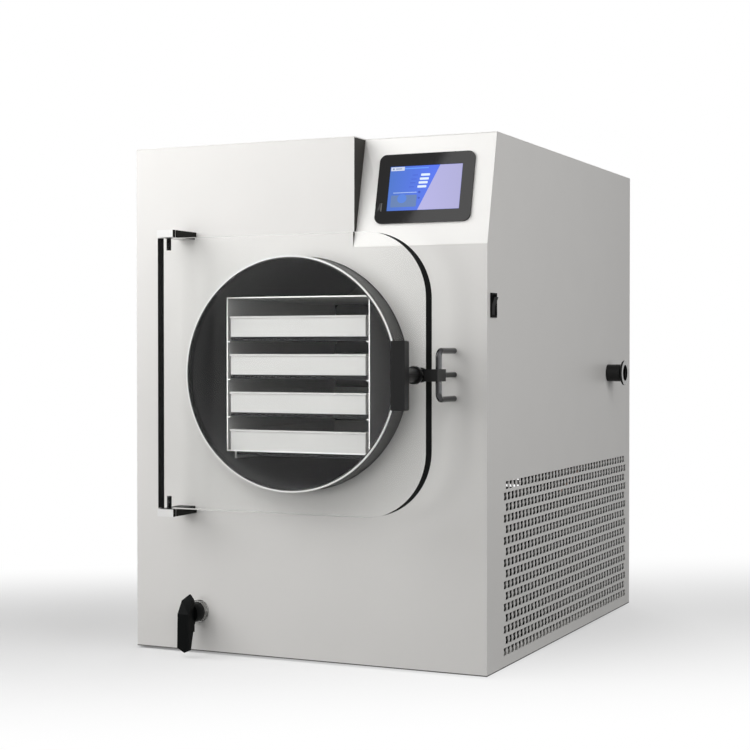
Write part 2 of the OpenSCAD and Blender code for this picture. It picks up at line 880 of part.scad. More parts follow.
// A hinge arm over the height z, with a fine groove near its front end.
module hinge_arm(z) {
    left = pin_x - arm_w / 2;
    right = pin_x + arm_w / 2;
    groove_front = arm_front + arm_groove[0];
    groove_back = groove_front + arm_groove[1];
    high = z + arm_h;
    difference() {
        span([left, arm_front, z], [right, 0, high]);
        for (x = [left, right]) {
            span([x - arm_groove[2], groove_front, z - cut], [x + arm_groove[2], groove_back, high + cut]);
        }
        rod_z(pin_x, door_mid, z - cut, high + cut, pin_r + bond_gap);
        for (side = [-1, 1]) {
            x = pin_x + side * arm_screw_spread / 2;
            rod_y(x, z + arm_h / 2, -arm_screw_bite - cut, cut, arm_screw_r + bond_gap);
        }
    }
}

module hinge_arm_upper() {
    part("gainsboro") hinge_arm(door_high + hinge_gap);
}

module hinge_arm_lower() {
    part("gainsboro") hinge_arm(door_low - hinge_gap - arm_h);
}

module hinge_pins() {
    part("silver") {
        rod_z(pin_x, door_mid, door_high - pin_depth + pin_end_gap, door_high + hinge_gap + arm_h, pin_r);
        rod_z(pin_x, door_mid, door_low - hinge_gap - arm_h, door_low + pin_depth - pin_end_gap, pin_r);
    }
}

module hinge_screws() {
    part("silver") at_hinge_screws() {
        rod_y(0, 0, -arm_screw_bite, sheet + cut, arm_screw_r);
        rod_y(0, 0, sheet, sheet + arm_screw_head_t, arm_screw_head_r);
    }
}

// ---- latch ------------------------------------------------------------------

module latch_handle() {
    part("black") difference() {
        union() {
            translate([latch_x, 0, chamber_z]) front_slab(handle_front, handle_t)
                soft_rect(handle_w, handle_l, handle_edge);
            rod_y(latch_x, chamber_z, handle_back - cut, cam_front, neck_r);
        }
        rod_y(latch_x, chamber_z, handle_back - spindle_bite - cut, cam_front + cut, spindle_r + bond_gap);
    }
}

module latch_spindle() {
    part("silver") rod_y(latch_x, chamber_z, handle_back - spindle_bite, nut_end + 1, spindle_r);
}

module latch_cam() {
    part("black") translate([latch_x, 0, chamber_z]) front_slab(cam_front, cam_t) difference() {
        union() {
            circle(r = cam_r);
            intersection() {
                circle(r = nose_reach, $fn = 96);
                translate([-nose_reach, -nose_w / 2]) square([nose_reach, nose_w]);
            }
        }
        circle(r = spindle_r + bond_gap);
    }
}

module latch_nut() {
    washer_y = nut_start - washer_t;
    part("dimgray") {
        difference() {
            rod_y(latch_x, chamber_z, washer_y, nut_start, washer_r);
            rod_y(latch_x, chamber_z, washer_y - cut, nut_start + cut, spindle_r + bond_gap);
        }
        hex_y(latch_x, chamber_z, nut_start, nut_end, nut_r, spindle_r + bond_gap);
    }
}

module latch_bushing() {
    part("dimgray") difference() {
        union() {
            rod_y(latch_x, chamber_z, door_front - cut, door_back, bushing_r);
            rod_y(latch_x, chamber_z, door_front - bushing_flange_t, door_front, bushing_flange_r);
        }
        rod_y(latch_x, chamber_z, door_front - 4 * cut, door_back + cut, spindle_r + running_gap);
    }
}

// A quarter bend of the hoop between its upright and its upper leg.
module hoop_corner() {
    translate([hoop_x, hoop_y + hoop_bend, chamber_z + hoop_h / 2 - hoop_bend])
        rotate([90, 0, -90]) rotate_extrude(angle = 90) translate([hoop_bend, 0]) circle(r = hoop_r);
}

module latch_hoop() {
    straight = hoop_h / 2 - hoop_bend;
    part("silver") {
        rod_z(hoop_x, hoop_y, chamber_z - straight, chamber_z + straight, hoop_r);
        hoop_corner();
        translate([0, 0, 2 * chamber_z]) mirror([0, 0, 1]) hoop_corner();
        for (z = [hoop_leg_zs[0], hoop_leg_zs[2]]) {
            rod_y(hoop_x, z, hoop_y + hoop_bend, -cut, hoop_r);
            rod_y(hoop_x, z, -2 * cut, sheet + hoop_thread, hoop_leg_r);
        }
    }
}

// The block on the hoop's middle, with the lip that the latch nose turns in behind.
module latch_keeper() {
    low = chamber_z - keeper_half_h;
    high = chamber_z + keeper_half_h;
    part("black") difference() {
        union() {
            span([keeper_left, keeper_front, low], [keeper_right, keeper_back, high]);
            span([lip_left, keeper_front, low], [keeper_right, slot_front, high]);
            rod_y(hoop_x, chamber_z, keeper_back - cut, sheet + hoop_thread, hoop_leg_r);
        }
        span([lip_left - cut, slot_front, low - cut], [slot_right, slot_back, high + cut]);
        rod_z(hoop_x, hoop_y, low - cut, high + cut, hoop_r + slip_gap);
    }
}

module hoop_nuts() {
    part("silver") for (z = hoop_leg_zs) {
        hex_y(hoop_x, z, sheet, sheet + hoop_nut_t, hoop_nut_r, hoop_leg_r + bond_gap);
    }
}

// ---- drain ------------------------------------------------------------------

module drain_hose() {
    route = [
        [0, spigot_y, spigot_low],
        [0, spigot_y, hose_low_z],
        [-drain_x, spigot_y, drain_z],
        [-drain_x, valve_inner_end, drain_z]
    ];
    part("ivory") difference() {
        run(route, spigot_r);
        run(concat([route[0] + [0, 0, cut]], [route[1], route[2]], [route[3] - [0, cut, 0]]), spigot_bore);
    }
}

module drain_valve_body() {
    part("black") difference() {
        union() {
            rod_y(-drain_x, drain_z, valve_hub_back - cut, valve_inner_end, valve_r);
            rod_y(-drain_x, drain_z, valve_hub_front, valve_hub_back, valve_hub_r);
            rod_z(-drain_x, outlet_y, outlet_z, drain_z, outlet_r);
            rod_z(-drain_x, outlet_y, outlet_shoulder_z, drain_z, outlet_shoulder_r);
        }
        rod_y(-drain_x, drain_z, outlet_y, valve_inner_end + cut, spigot_bore);
        rod_z(-drain_x, outlet_y, outlet_z - cut, drain_z, outlet_bore_r);
        rod_y(-drain_x, drain_z, valve_hub_front - cut, lever_pin_end + rest_gap, lever_pin_r + running_gap);
    }
}

module drain_nut() {
    part("silver") {
        difference() {
            rod_y(-drain_x, drain_z, -valve_washer[1], 0, valve_washer[0]);
            rod_y(-drain_x, drain_z, -valve_washer[1] - cut, cut, valve_r + bond_gap);
        }
        hex_y(-drain_x, drain_z, valve_hub_back, -valve_washer[1], valve_nut_r, valve_r + bond_gap);
    }
}

// A paddle that leans back towards its peaked top and thins towards its pointed tip.
module drain_lever() {
    half = lever_w / 2;
    part("black") {
        intersection() {
            translate([-drain_x, 0, drain_z]) front_slab(lever_front, lever_t) polygon([
                [-half, lever_lean_z], [-half - lever_splay, lever_tip[0] - lever_fall],
                [lever_point, -lever_fall], [half, lever_tip[1] - lever_fall], [half, lever_right],
                [lever_peak, lever_rise], [-lever_left[0], lever_left[1]]
            ]);
            side_slab(-drain_x - lever_w, 2 * lever_w) polygon([
                [lever_back, lever_top + cut], [lever_back - lever_top_t, lever_top + cut],
                [lever_front, drain_z + lever_lean_z], [lever_front, lever_low - cut],
                [lever_front + lever_tip_t, lever_low - cut], [lever_back, drain_z - valve_hub_r]
            ]);
        }
        rod_y(-drain_x, drain_z, lever_back - cut, lever_pin_end, lever_pin_r);
    }
}

// ---- vacuum line ------------------------------------------------------------

module vacuum_port() {
    face = half_w + port_out;
    part("silver") turned_x(port_y, port_z) {
        difference() {
            union() {
                translate([0, inner_x - port_in]) square([port_r, face - inner_x + port_in]);
                translate([0, face - port_flange_t]) square([port_flange_r, port_flange_t]);
                polygon([
                    [0, face - port_flange_t - port_taper], [port_r, face - port_flange_t - port_taper],
                    [port_flange_r, face - port_flange_t], [0, face - port_flange_t]
                ]);
                translate([0, inner_x - port_plate_t]) square([port_plate_r, port_plate_t]);
            }
            translate([-cut, inner_x - port_in - cut]) square([port_bore_r + cut, face + port_in]);
            translate([-cut, face - port_flange_t]) square([port_recess_r + cut, port_flange_t + cut]);
        }
    }
}

module vacuum_pipe() {
    route = [
        [0, shell_back + collar_l, port_z],
        [0, port_y, port_z],
        [inner_x - port_in, port_y, port_z]
    ];
    part("gray") difference() {
        run(route, pipe_bore_r + pipe_wall);
        run([route[0] - [0, cut, 0], route[1], route[2] + [cut, 0, 0]], pipe_bore_r);
    }
}

// ---- refrigeration deck -----------------------------------------------------

module compressor() {
    part("black") {
        translate([comp_x, comp_y, comp_low]) rotate_extrude($fn = 96) {
            translate([0, comp_round]) square([comp_r, comp_h - 2 * comp_round]);
            square([comp_r - comp_round, comp_h]);
            for (z = [comp_round, comp_h - comp_round]) {
                intersection() {
                    translate([comp_r - comp_round, z]) circle(r = comp_round);
                    square([comp_r, comp_h]);
                }
            }
        }
        difference() {
            span([comp_x - comp_plate[0] / 2, comp_y - comp_plate[1] / 2, comp_plate_low],
                 [comp_x + comp_plate[0] / 2, comp_y + comp_plate[1] / 2, comp_low]);
            at_mounts() rod_z(0, 0, comp_plate_low - cut, comp_low + cut, mount_r / 2);
        }
        for (s = [-1, 1]) rod_z(comp_x + s * stub_x, comp_y, comp_high - cut, stub_top, stub_r);
    }
}

module at_mounts() {
    for (sx = [-1, 1]) {
        for (sy = [-1, 1]) {
            translate([comp_x + sx * mount_spread[0], comp_y + sy * mount_spread[1], 0]) children();
        }
    }
}

module compressor_mounts() {
    part("dimgray") at_mounts() {
        rod_z(0, 0, panel_low, comp_plate_low, mount_r);
        rod_z(0, 0, comp_plate_low - cut, comp_low + 2, mount_r / 2 - slip_gap);
    }
}

module condenser_core() {
    fin_pitch = (core_rear - core_front - fin_t) / (fin_count - 1);
    part("silver") {
        for (i = [0:fin_count - 1]) {
            y = core_front + i * fin_pitch;
            span([core_left, y, core_low], [core_right, y + fin_t, core_high]);
        }
        for (i = [0:core_tubes - 1]) {
            rod_y(core_mid, low_tube_z + i * tube_pitch, core_tube_front, core_tube_rear, core_tube_r);
        }
        for (y = [core_front, core_rear - core_end_t]) {
            span([core_left, y, panel_low], [core_right, y + core_end_t, core_high]);
        }
    }
}

module fan_shroud() {
    part("dimgray") difference() {
        span([shroud_left, fan_y - shroud_half, panel_low], [core_left, fan_y + shroud_half, core_high]);
        rod_x(fan_y, fan_z, shroud_left - cut, core_left + cut, shroud_bore);
    }
}

// The motor, held before the fan by a spider whose four arms reach the shroud.
module fan_motor() {
    part("dimgray") difference() {
        union() {
            rod_x(fan_y, fan_z, motor_right - motor_l, motor_right, motor_r);
            side_slab(motor_right - motor_arm_bite, motor_arm_bite + motor_arm_t) translate([fan_y, fan_z]) {
                circle(r = motor_r - motor_arm_bite);
                for (a = [45, 135]) rotate(a) square([2 * motor_arm_l, motor_arm_w], center = true);
            }
        }
        rod_x(fan_y, fan_z, shaft_end - shaft_end_gap, shroud_left + cut, fan_shaft_r + running_gap);
    }
}

module fan_blades() {
    part("slategray") {
        rod_x(fan_y, fan_z, fan_x - fan_hub_half, fan_x + fan_hub_half, fan_hub_r);
        rod_x(fan_y, fan_z, shaft_end, fan_x, fan_shaft_r);
        translate([fan_x, fan_y, fan_z]) for (i = [0:fan_blade_count - 1]) {
            rotate([i * 360 / fan_blade_count, 0, 0]) rotate([0, 0, fan_pitch_angle])
                translate([0, 0, fan_hub_r - blade_root]) linear_extrude(fan_tip_r - fan_hub_r + blade_root)
                    square(fan_blade, center = true);
        }
    }
}

module refrigerant_pipes() {
    r = pipe_r;
    part("peru") {
        run([
            [comp_x + stub_x, comp_y, stub_top], [comp_x + stub_x, comp_y, pipe_high_z],
            [core_mid, comp_y, pipe_high_z], [core_mid, drier_y, high_tube_z],
            [core_mid, core_tube_rear, high_tube_z]
        ], r);
        difference() {
            run([
                [core_mid, core_tube_rear, low_tube_z], [core_mid, drier_y, low_tube_z],
                [drier_right - cut, drier_y, drier_z]
            ], r);
            span([drier_right - 4 * cut, drier_y - drier_r, drier_z - drier_r],
                 [drier_right, drier_y + drier_r, drier_z + drier_r]);
        }
        run([
            [drier_left, drier_y, drier_z], [header_x, drier_y, drier_z], [header_x, drier_y, header_z],
            [header_x, header_end, header_z]
        ], r);
        run([
            [-header_x, header_end, header_z], [-header_x, drier_y, header_z],
            [comp_x - stub_x, comp_y, header_z], [comp_x - stub_x, comp_y, stub_top]
        ], r);
    }
}

module filter_drier() {
    part("goldenrod") rod_x(drier_y, drier_z, drier_left, drier_right, drier_r);
}

// ---- electrics --------------------------------------------------------------

module control_box() {
    part("lightgray") span([box_left, rear_y - box_size[1], box_low],
        [box_left + box_size[0], rear_y, box_low + box_size[2]]);
}

module power_supply() {
    part("silver") span([supply_corner[0], supply_corner[1], panel_low],
        [supply_corner[0] + supply_size[0], supply_corner[1] + supply_size[1], panel_low + supply_size[2]]);
}

module screen_bezel() {
    part("black") on_console() linear_extrude(bezel_t) difference() {
        soft_rect(bezel_w, bezel_h, bezel_corner);
        square([window_w, window_h], center = true);
        translate([-bezel_w / 2 + bezel_slot_at[0], bezel_slot_at[1]]) square(bezel_slot, center = true);
    }
}

module display_panel() {
    part("steelblue") on_console() linear_extrude(bezel_t - display_sunk)
        square([window_w - 2 * rest_gap, window_h - 2 * rest_gap], center = true);
}

module display_housing() {
    part("dimgray") on_console() translate([0, 0, -housing_depth]) linear_extrude(housing_depth)
        square([window_w + 2 * housing_room, window_h + 2 * housing_room], center = true);
}

module switch_housing() {
    pocket_w = rocker_w + 2 * rest_gap;
    pocket_h = 2 * (rocker_half + rocker_swing);
    part("black") difference() {
        side_slab(half_w, switch_rim_t) translate([switch_y, switch_z])
            square([switch_w, switch_h], center = true);
        rocker_pocket(pocket_w, pocket_h);
    }
    part("black") difference() {
        side_slab(half_w - switch_body_l, switch_body_l) translate([switch_y, switch_z])
            square([switch_body_w, switch_body_h], center = true);
        rocker_pocket(pocket_w, pocket_h);
        translate([rocker_pivot_x, 0, switch_z])
            rod_y(0, 0, switch_y - rocker_pin_half - rest_gap, switch_y + rocker_pin_half + rest_gap,
                  rocker_pin_r + running_gap);
    }
}

// The pocket in the switch's housing that the rocker tilts in.
module rocker_pocket(w, h) {
    side_slab(half_w - rocker_pocket_l, rocker_pocket_l + 2 * switch_rim_t) translate([switch_y, switch_z])
        square([w, h], center = true);
}

// A rocker with two sloping faces that meet at a shallow valley over its pins.
module switch_rocker() {
    half = rocker_half;
    part("black") translate([rocker_pivot_x, switch_y, switch_z]) rotate([0, rocker_tilt, 0]) {
        front_slab(-rocker_w / 2, rocker_w) polygon([
            [-rocker_root, rocker_chamfer - half], [rocker_edge, -half], [rocker_crest, -half],
            [rocker_valley, 0],
            [rocker_crest, half], [rocker_edge, half], [-rocker_root, half - rocker_chamfer]
        ]);
        rod_y(0, 0, -rocker_pin_half, rocker_pin_half, rocker_pin_r);
    }
}

// A block of width, height and length, centred on the inlet, that starts at y.
module at_inlet(y, size) {
    translate([inlet_x, 0, inlet_z]) front_slab(y, size[2]) square([size[0], size[1]], center = true);
}

module power_inlet() {
    floor_y = body_d + inlet_flange[2] - inlet_socket[2];
    part("black") {
        difference() {
            union() {
                at_inlet(body_d, inlet_flange);
                at_inlet(body_d - inlet_body[2], inlet_body);
            }
            at_inlet(floor_y, inlet_socket + [0, 0, cut]);
        }
        for (i = [-1, 0, 1]) {
            translate([inlet_x + i * inlet_pin_pitch, 0, inlet_z + (1 - abs(i)) * inlet_pin_lift])
                front_slab(floor_y - cut, inlet_pin[1]) square([inlet_pin[0], inlet_pin[2]], center = true);
        }
    }
}

base_pan();
feet();
front_panel();
console_panel();
top_cover();
left_side_panel();
right_side_panel();
rear_panel();
inner_frame();
rear_screws();
chamber_shell();
door_gasket();
chamber_insulation();
cold_coil();
chamber_cradle();
rack_frame();
heating_shelves();
tray(1);  // tray_1
tray(2);  // tray_2
tray(3);  // tray_3
tray(4);  // tray_4
temperature_probe();
door_plate();
hinge_bushes();
hinge_arm_upper();
hinge_arm_lower();
hinge_pins();
hinge_screws();
latch_handle();
latch_spindle();
latch_cam();
latch_nut();
latch_bushing();
latch_hoop();
latch_keeper();
hoop_nuts();
drain_hose();
drain_valve_body();
drain_nut();
drain_lever();
vacuum_port();
vacuum_pipe();
compressor();
compressor_mounts();
condenser_core();
fan_shroud();
fan_motor();
fan_blades();
refrigerant_pipes();
filter_drier();
control_box();
power_supply();
screen_bezel();
display_panel();
display_housing();
switch_housing();
switch_rocker();
power_inlet();
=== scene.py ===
"""Looks of a benchtop freeze dryer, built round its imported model, in a plain studio."""

from __future__ import annotations

import json
import logging
import math
from collections.abc import Callable, Iterable, Sequence
from dataclasses import dataclass, field
from enum import Enum

import bmesh
import bpy
from mathutils import Euler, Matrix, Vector

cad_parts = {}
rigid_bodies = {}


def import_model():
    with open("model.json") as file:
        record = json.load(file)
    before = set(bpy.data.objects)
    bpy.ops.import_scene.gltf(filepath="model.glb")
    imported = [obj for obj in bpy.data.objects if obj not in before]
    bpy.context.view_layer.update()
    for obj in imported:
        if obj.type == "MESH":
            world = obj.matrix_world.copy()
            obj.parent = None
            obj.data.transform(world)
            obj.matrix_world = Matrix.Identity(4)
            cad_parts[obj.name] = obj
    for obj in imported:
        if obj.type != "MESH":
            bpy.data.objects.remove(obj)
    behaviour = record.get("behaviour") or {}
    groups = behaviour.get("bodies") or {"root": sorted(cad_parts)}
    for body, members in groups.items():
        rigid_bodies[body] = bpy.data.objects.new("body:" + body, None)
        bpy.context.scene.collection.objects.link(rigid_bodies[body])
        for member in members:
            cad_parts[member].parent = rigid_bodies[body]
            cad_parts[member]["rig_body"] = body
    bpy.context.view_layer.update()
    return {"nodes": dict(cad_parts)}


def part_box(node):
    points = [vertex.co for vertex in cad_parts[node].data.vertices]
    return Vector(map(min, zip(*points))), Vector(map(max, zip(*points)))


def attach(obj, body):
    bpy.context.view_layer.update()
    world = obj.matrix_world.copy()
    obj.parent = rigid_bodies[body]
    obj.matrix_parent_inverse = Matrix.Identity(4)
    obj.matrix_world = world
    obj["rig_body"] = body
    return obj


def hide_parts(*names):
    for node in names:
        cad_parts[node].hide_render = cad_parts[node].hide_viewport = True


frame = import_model()

LOG = logging.getLogger("freeze_dryer")
MM = 0.001
WELD = 0.01 * MM  # points nearer to each other than this are one point
FLAT_ANGLE = 0.5  # degrees, below which two faces count as one
SHARP_ANGLE = 30.0  # degrees, above which the edge between two faces isn't shaded smooth
EASED_ANGLE = 40.0  # degrees, above which an edge is rounded
FACING = 0.9  # the least part of a face's normal along a direction that it squarely faces
COAT_ROUGHNESS = 0.08
WHITE = (1.0, 1.0, 1.0)

Colour = tuple[float, float, float]
Point2 = tuple[float, float]
Socket = bpy.types.NodeSocket
Fed = Socket | float | Sequence[float]  # what an input of a node can be given


# ---- finishes ----


class Grain(Enum):
    """How a surface is textured close up, as the stretch of its noise along X, Y and Z."""

    EVEN = (1.0, 1.0, 1.0)
    ALONG_X = (0.02, 1.0, 1.0)
    ALONG_Y = (1.0, 0.02, 1.0)
    ALONG_Z = (1.0, 1.0, 0.02)


@dataclass
class Tree:
    """A small helper that adds and links the nodes of one material or world.

    Args:
        owner: The material or world whose nodes are replaced.
    """

    owner: bpy.types.Material | bpy.types.World

    def __post_init__(self) -> None:
        """Clears the tree and adds its output."""
        self.owner.use_nodes = True
        self.nodes = self.owner.node_tree.nodes
        self.nodes.clear()
        kind = "World" if isinstance(self.owner, bpy.types.World) else "Material"
        self.output = self.add(f"ShaderNodeOutput{kind}")

    @classmethod
    def of_material(cls, name: str) -> Tree:
        """Makes an empty material of that name, and gives its tree."""
        return cls(bpy.data.materials.new(name))

    def feed(self, value: Fed, into: Socket) -> None:
        """Links an output to an input, or sets the input to a number, a vector or a colour.

        Args:
            value: The output, or what the input is set to.
            into: The input.
        """
        if isinstance(value, Socket):
            self.owner.node_tree.links.new(value, into)
        elif into.type == "RGBA":
            into.default_value = (*value, 1.0)
        else:
            into.default_value = value

    def add(self, kind: str, inputs: dict[str, Fed] | None = None, **values: str) -> bpy.types.Node:
        """Adds a node.

        Args:
            kind: The node's type name.
            inputs: What its inputs are fed, by their names.
            **values: Properties of the node, such as operation.

        Returns:
            The new node.
        """
        node = self.nodes.new(kind)
        for key, value in values.items():
            setattr(node, key, value)
        for name, value in (inputs or {}).items():
            self.feed(value, node.inputs[name])
        return node

    def fed(self, node: bpy.types.Node, values: Iterable[Fed]) -> bpy.types.Node:
        """Feeds a node's inputs in their order.

        Args:
            node: The node.
            values: What its inputs are fed.

        Returns:
            The node.
        """
        for value, into in zip(values, node.inputs):
            self.feed(value, into)
        return node

    def math(self, operation: str, *values: Fed) -> Socket:
        """Works out a number from numbers, such as a product, and gives it."""
        return self.fed(self.add("ShaderNodeMath", operation=operation), values).outputs[0]

    def measure(self, operation: str, *values: Fed) -> Socket:
        """Works out a number from vectors, such as a length, and gives it."""
        node = self.add("ShaderNodeVectorMath", operation=operation)
        return self.fed(node, values).outputs["Value"]

    def place(self, scale: Sequence[float] = (1.0, 1.0, 1.0)) -> Socket:
        """Gives the point on the object in metres, multiplied by a scale."""
        point = self.add("ShaderNodeTexCoord").outputs["Object"]
        return self.add("ShaderNodeMapping", {"Scale": scale, "Vector": point}).outputs["Vector"]

    def part(self, axis: int) -> Socket:
        """Gives the point's X, Y or Z in metres, for axis 0, 1 or 2."""
        return self.add("ShaderNodeSeparateXYZ", {"Vector": self.place()}).outputs[axis]

    def noise(self, size: float, grain: Grain = Grain.EVEN, detail: float = 3.0) -> Socket:
        """Adds a noise pattern.

        Args:
            size: The size of its patches in metres.
            grain: Its direction.
            detail: How many finer layers it has.

        Returns:
            A value output between 0 and 1.
        """
        point = self.place([stretch / size for stretch in grain.value])
        node = self.add("ShaderNodeTexNoise", {"Vector": point, "Scale": 1.0, "Detail": detail})
        return node.outputs["Fac"]

    def spread(
        self, value: Socket, low: float, high: float, ends: Point2 = (0.25, 0.75), kind: str = "LINEAR"
    ) -> Socket:
        """Maps a value to a range.

        Args:
            value: What is mapped.
            low: The result at the first end.
            high: The result at the second end.
            ends: The values that give low and high.
            kind: How the result changes between them.

        Returns:
            The mapped value.
        """
        limits = {"From Min": ends[0], "From Max": ends[1], "To Min": low, "To Max": high}
        node = self.add("ShaderNodeMapRange", limits | {"Value": value}, interpolation_type=kind)
        return node.outputs["Result"]

    def blend(self, share: Socket, first: Fed, second: Fed) -> Socket:
        """Mixes two colours by the share of the second, and gives the result."""
        node = self.add("ShaderNodeMix", {"Factor": share, "A": first, "B": second}, data_type="RGBA")
        return node.outputs["Result"]

    def seen(self) -> Socket:
        """Tells rays that look at a background, straight, in a mirror or through glass, from others.

        Returns:
            A value output, 1 for those rays and 0 for the others.
        """
        path = self.add("ShaderNodeLightPath")
        looks = self.math("MAXIMUM", path.outputs["Is Camera Ray"], path.outputs["Is Glossy Ray"])
        return self.math("MAXIMUM", looks, path.outputs["Is Transmission Ray"])

    def mixed(self, share: Socket, first: bpy.types.Node, second: bpy.types.Node) -> bpy.types.Node:
        """Mixes two shaders by the share of the second, and gives the mixing node."""
        values = (share, first.outputs[0], second.outputs[0])
        return self.fed(self.add("ShaderNodeMixShader"), values)

    def show(self, shader: bpy.types.Node) -> bpy.types.Material | bpy.types.World:
        """Makes a shader the owner's surface, and gives the owner."""
        self.feed(shader.outputs[0], self.output.inputs["Surface"])
        return self.owner


def scaled(colour: Colour, share: float) -> Colour:
    """Multiplies a colour by a number."""
    return (colour[0] * share, colour[1] * share, colour[2] * share)


@dataclass(frozen=True)
class Finish:
    """An opaque finish: its colour, gloss and close-up texture.

    Args:
        name: The material's name.
        colour: The linear base colour.
        roughness: The mean roughness.
        metallic: 1 for bare metal.
        grain: The direction of the texture.
        size: The size of the texture's patches in metres.
        relief: The depth of the texture in metres.
        spread: How far the roughness varies either way.
        mottle: The share by which the colour darkens in patches.
        mottle_size: The size of those patches in metres.
        specular: The level of the clear reflection.
        coat: The weight of a clear coat.
    """

    name: str
    colour: Colour
    roughness: float
    metallic: float = 0.0
    grain: Grain = Grain.EVEN
    size: float = 0.0012
    relief: float = 0.00002
    spread: float = 0.04
    mottle: float = 0.03
    mottle_size: float = 0.09
    specular: float = 0.5
    coat: float = 0.0

    def material(self) -> bpy.types.Material:
        """Builds the material the first time that it is asked for.

        Returns:
            The material.
        """
        made = bpy.data.materials.get(self.name + "_finish")
        if made is not None:
            return made
        tree = Tree.of_material(self.name + "_finish")
        patches = tree.spread(tree.noise(self.mottle_size, detail=2.0), 0.0, 1.0)
        return self.painted(tree, tree.blend(patches, self.colour, scaled(self.colour, 1.0 - self.mottle)))

    def painted(self, tree: Tree, colour: Socket) -> bpy.types.Material:
        """Adds the shader, with its gloss and texture, to a material.

        Args:
            tree: The material's tree.
            colour: What gives its colour.

        Returns:
            The material.
        """
        fine = tree.noise(self.size, self.grain)
        bump = tree.add("ShaderNodeBump", {"Strength": 1.0, "Distance": self.relief, "Height": fine})
        inputs = {
            "Base Color": colour,
            "Metallic": self.metallic,
            "Roughness": tree.spread(fine, self.roughness - self.spread, self.roughness + self.spread),
            "Specular IOR Level": self.specular,
            "Coat Weight": self.coat,
            "Coat Roughness": COAT_ROUGHNESS,
            "Normal": bump.outputs["Normal"],
        }
        return tree.show(tree.add("ShaderNodeBsdfPrincipled", inputs))


@dataclass(frozen=True)
class ClearPlastic:
    """Clear cast acrylic, which lets lamps through to what is behind it.

    Args:
        name: The material's name.
        colour: Its tint.
        roughness: The roughness of its polished faces.
        ior: Its index of refraction, lower than real acrylic's so that it hides less.
        mirror: The tint of its reflection.
    """

    name: str = "clear_acrylic"
    colour: Colour = (0.992, 0.995, 0.992)
    roughness: float = 0.0
    ior: float = 1.2
    mirror: Colour = (0.7, 0.7, 0.7)

    def material(self) -> bpy.types.Material:
        """Builds the material.

        Returns:
            The material.
        """
        tree = Tree.of_material(self.name + "_finish")
        inputs = {
            "Base Color": self.colour,
            "Specular Tint": self.mirror,
            "Roughness": self.roughness,
            "IOR": self.ior,
            "Transmission Weight": 1.0,
        }
        shader = tree.add("ShaderNodeBsdfPrincipled", inputs)
        clear = tree.add("ShaderNodeBsdfTransparent", {"Color": self.colour})
        path = tree.add("ShaderNodeLightPath")
        lamps = tree.math("MAXIMUM", path.outputs["Is Shadow Ray"], path.outputs["Is Diffuse Ray"])
        return tree.show(tree.mixed(lamps, shader, clear))


@dataclass(frozen=True)
class Banded:
    """A finish whose colour changes along Y.

    Args:
        finish: The finish before the change.
        far: The colour after it.
        ends: The Y values in metres between which it changes.
    """

    finish: Finish
    far: Colour
    ends: Point2

    def material(self) -> bpy.types.Material:
        """Builds the material.

        Returns:
            The material.
        """
        tree = Tree.of_material(self.finish.name + "_finish")
        share = tree.spread(tree.part(1), 0.0, 1.0, self.ends)
        return self.finish.painted(tree, tree.blend(share, self.finish.colour, self.far))


@dataclass(frozen=True)
class Ringed:
    """A finish round an axis along Y, with a pale ring painted at the outer edge of its front as a painted
    highlight.

    Args:
        finish: The finish inside the ring.
        pale: The ring's colour, a painted highlight.
        outer: The colour of the outer face behind the ring.
        axis: The X and Z of the axis, in metres.
        radius: Where the ring starts, in metres.
        front: The Y behind which the ring ends, in metres.
        edge: How far the change between two colours takes, in metres.
    """

    finish: Finish
    pale: Colour
    outer: Colour
    axis: Point2
    radius: float
    front: float
    edge: float = 0.1 * MM

    def material(self) -> bpy.types.Material:
        """Builds the material.

        Returns:
            The material.
        """
        tree = Tree.of_material(self.finish.name + "_finish")
        across = tree.math("SUBTRACT", tree.part(0), self.axis[0])
        up = tree.math("SUBTRACT", tree.part(2), self.axis[1])
        flat = tree.add("ShaderNodeCombineXYZ", {"X": across, "Z": up}).outputs["Vector"]
        away = tree.measure("LENGTH", flat)
        ring = tree.spread(away, 0.0, 1.0, (self.radius, self.radius + self.edge))
        behind = tree.spread(tree.part(1), 0.0, 1.0, (self.front, self.front + self.edge))
        rim = tree.blend(behind, self.pale, self.outer)
        return self.finish.painted(tree, tree.blend(ring, self.finish.colour, rim))


@dataclass(frozen=True)
class Glow:
    """A lit area of a display.

    Args:
        name: The material's name.
        colour: The linear colour that it shows.
        second: The colour that it fades to along X.
        span: The X values in metres between which it fades.
        ground: The colour that it has unlit.
        roughness: The roughness of the glass over it.
        specular: The level of the clear reflection.
    """

    name: str
    colour: Colour
    second: Colour
    span: Point2
    ground: Colour = (0.002, 0.002, 0.003)
    roughness: float = 0.2
    specular: float = 0.25

    def material(self) -> bpy.types.Material:
        """Builds the material.

        Returns:
            The material.
        """
        tree = Tree.of_material(self.name + "_finish")
        share = tree.spread(tree.part(0), 0.0, 1.0, self.span)
        inputs = {
            "Base Color": self.ground,
            "Roughness": self.roughness,
            "Specular IOR Level": self.specular,
            "Emission Color": tree.blend(share, self.colour, self.second),
            "Emission Strength": 1.0,
        }
        return tree.show(tree.add("ShaderNodeBsdfPrincipled", inputs))


Coating = Finish | Banded | Ringed | Glow

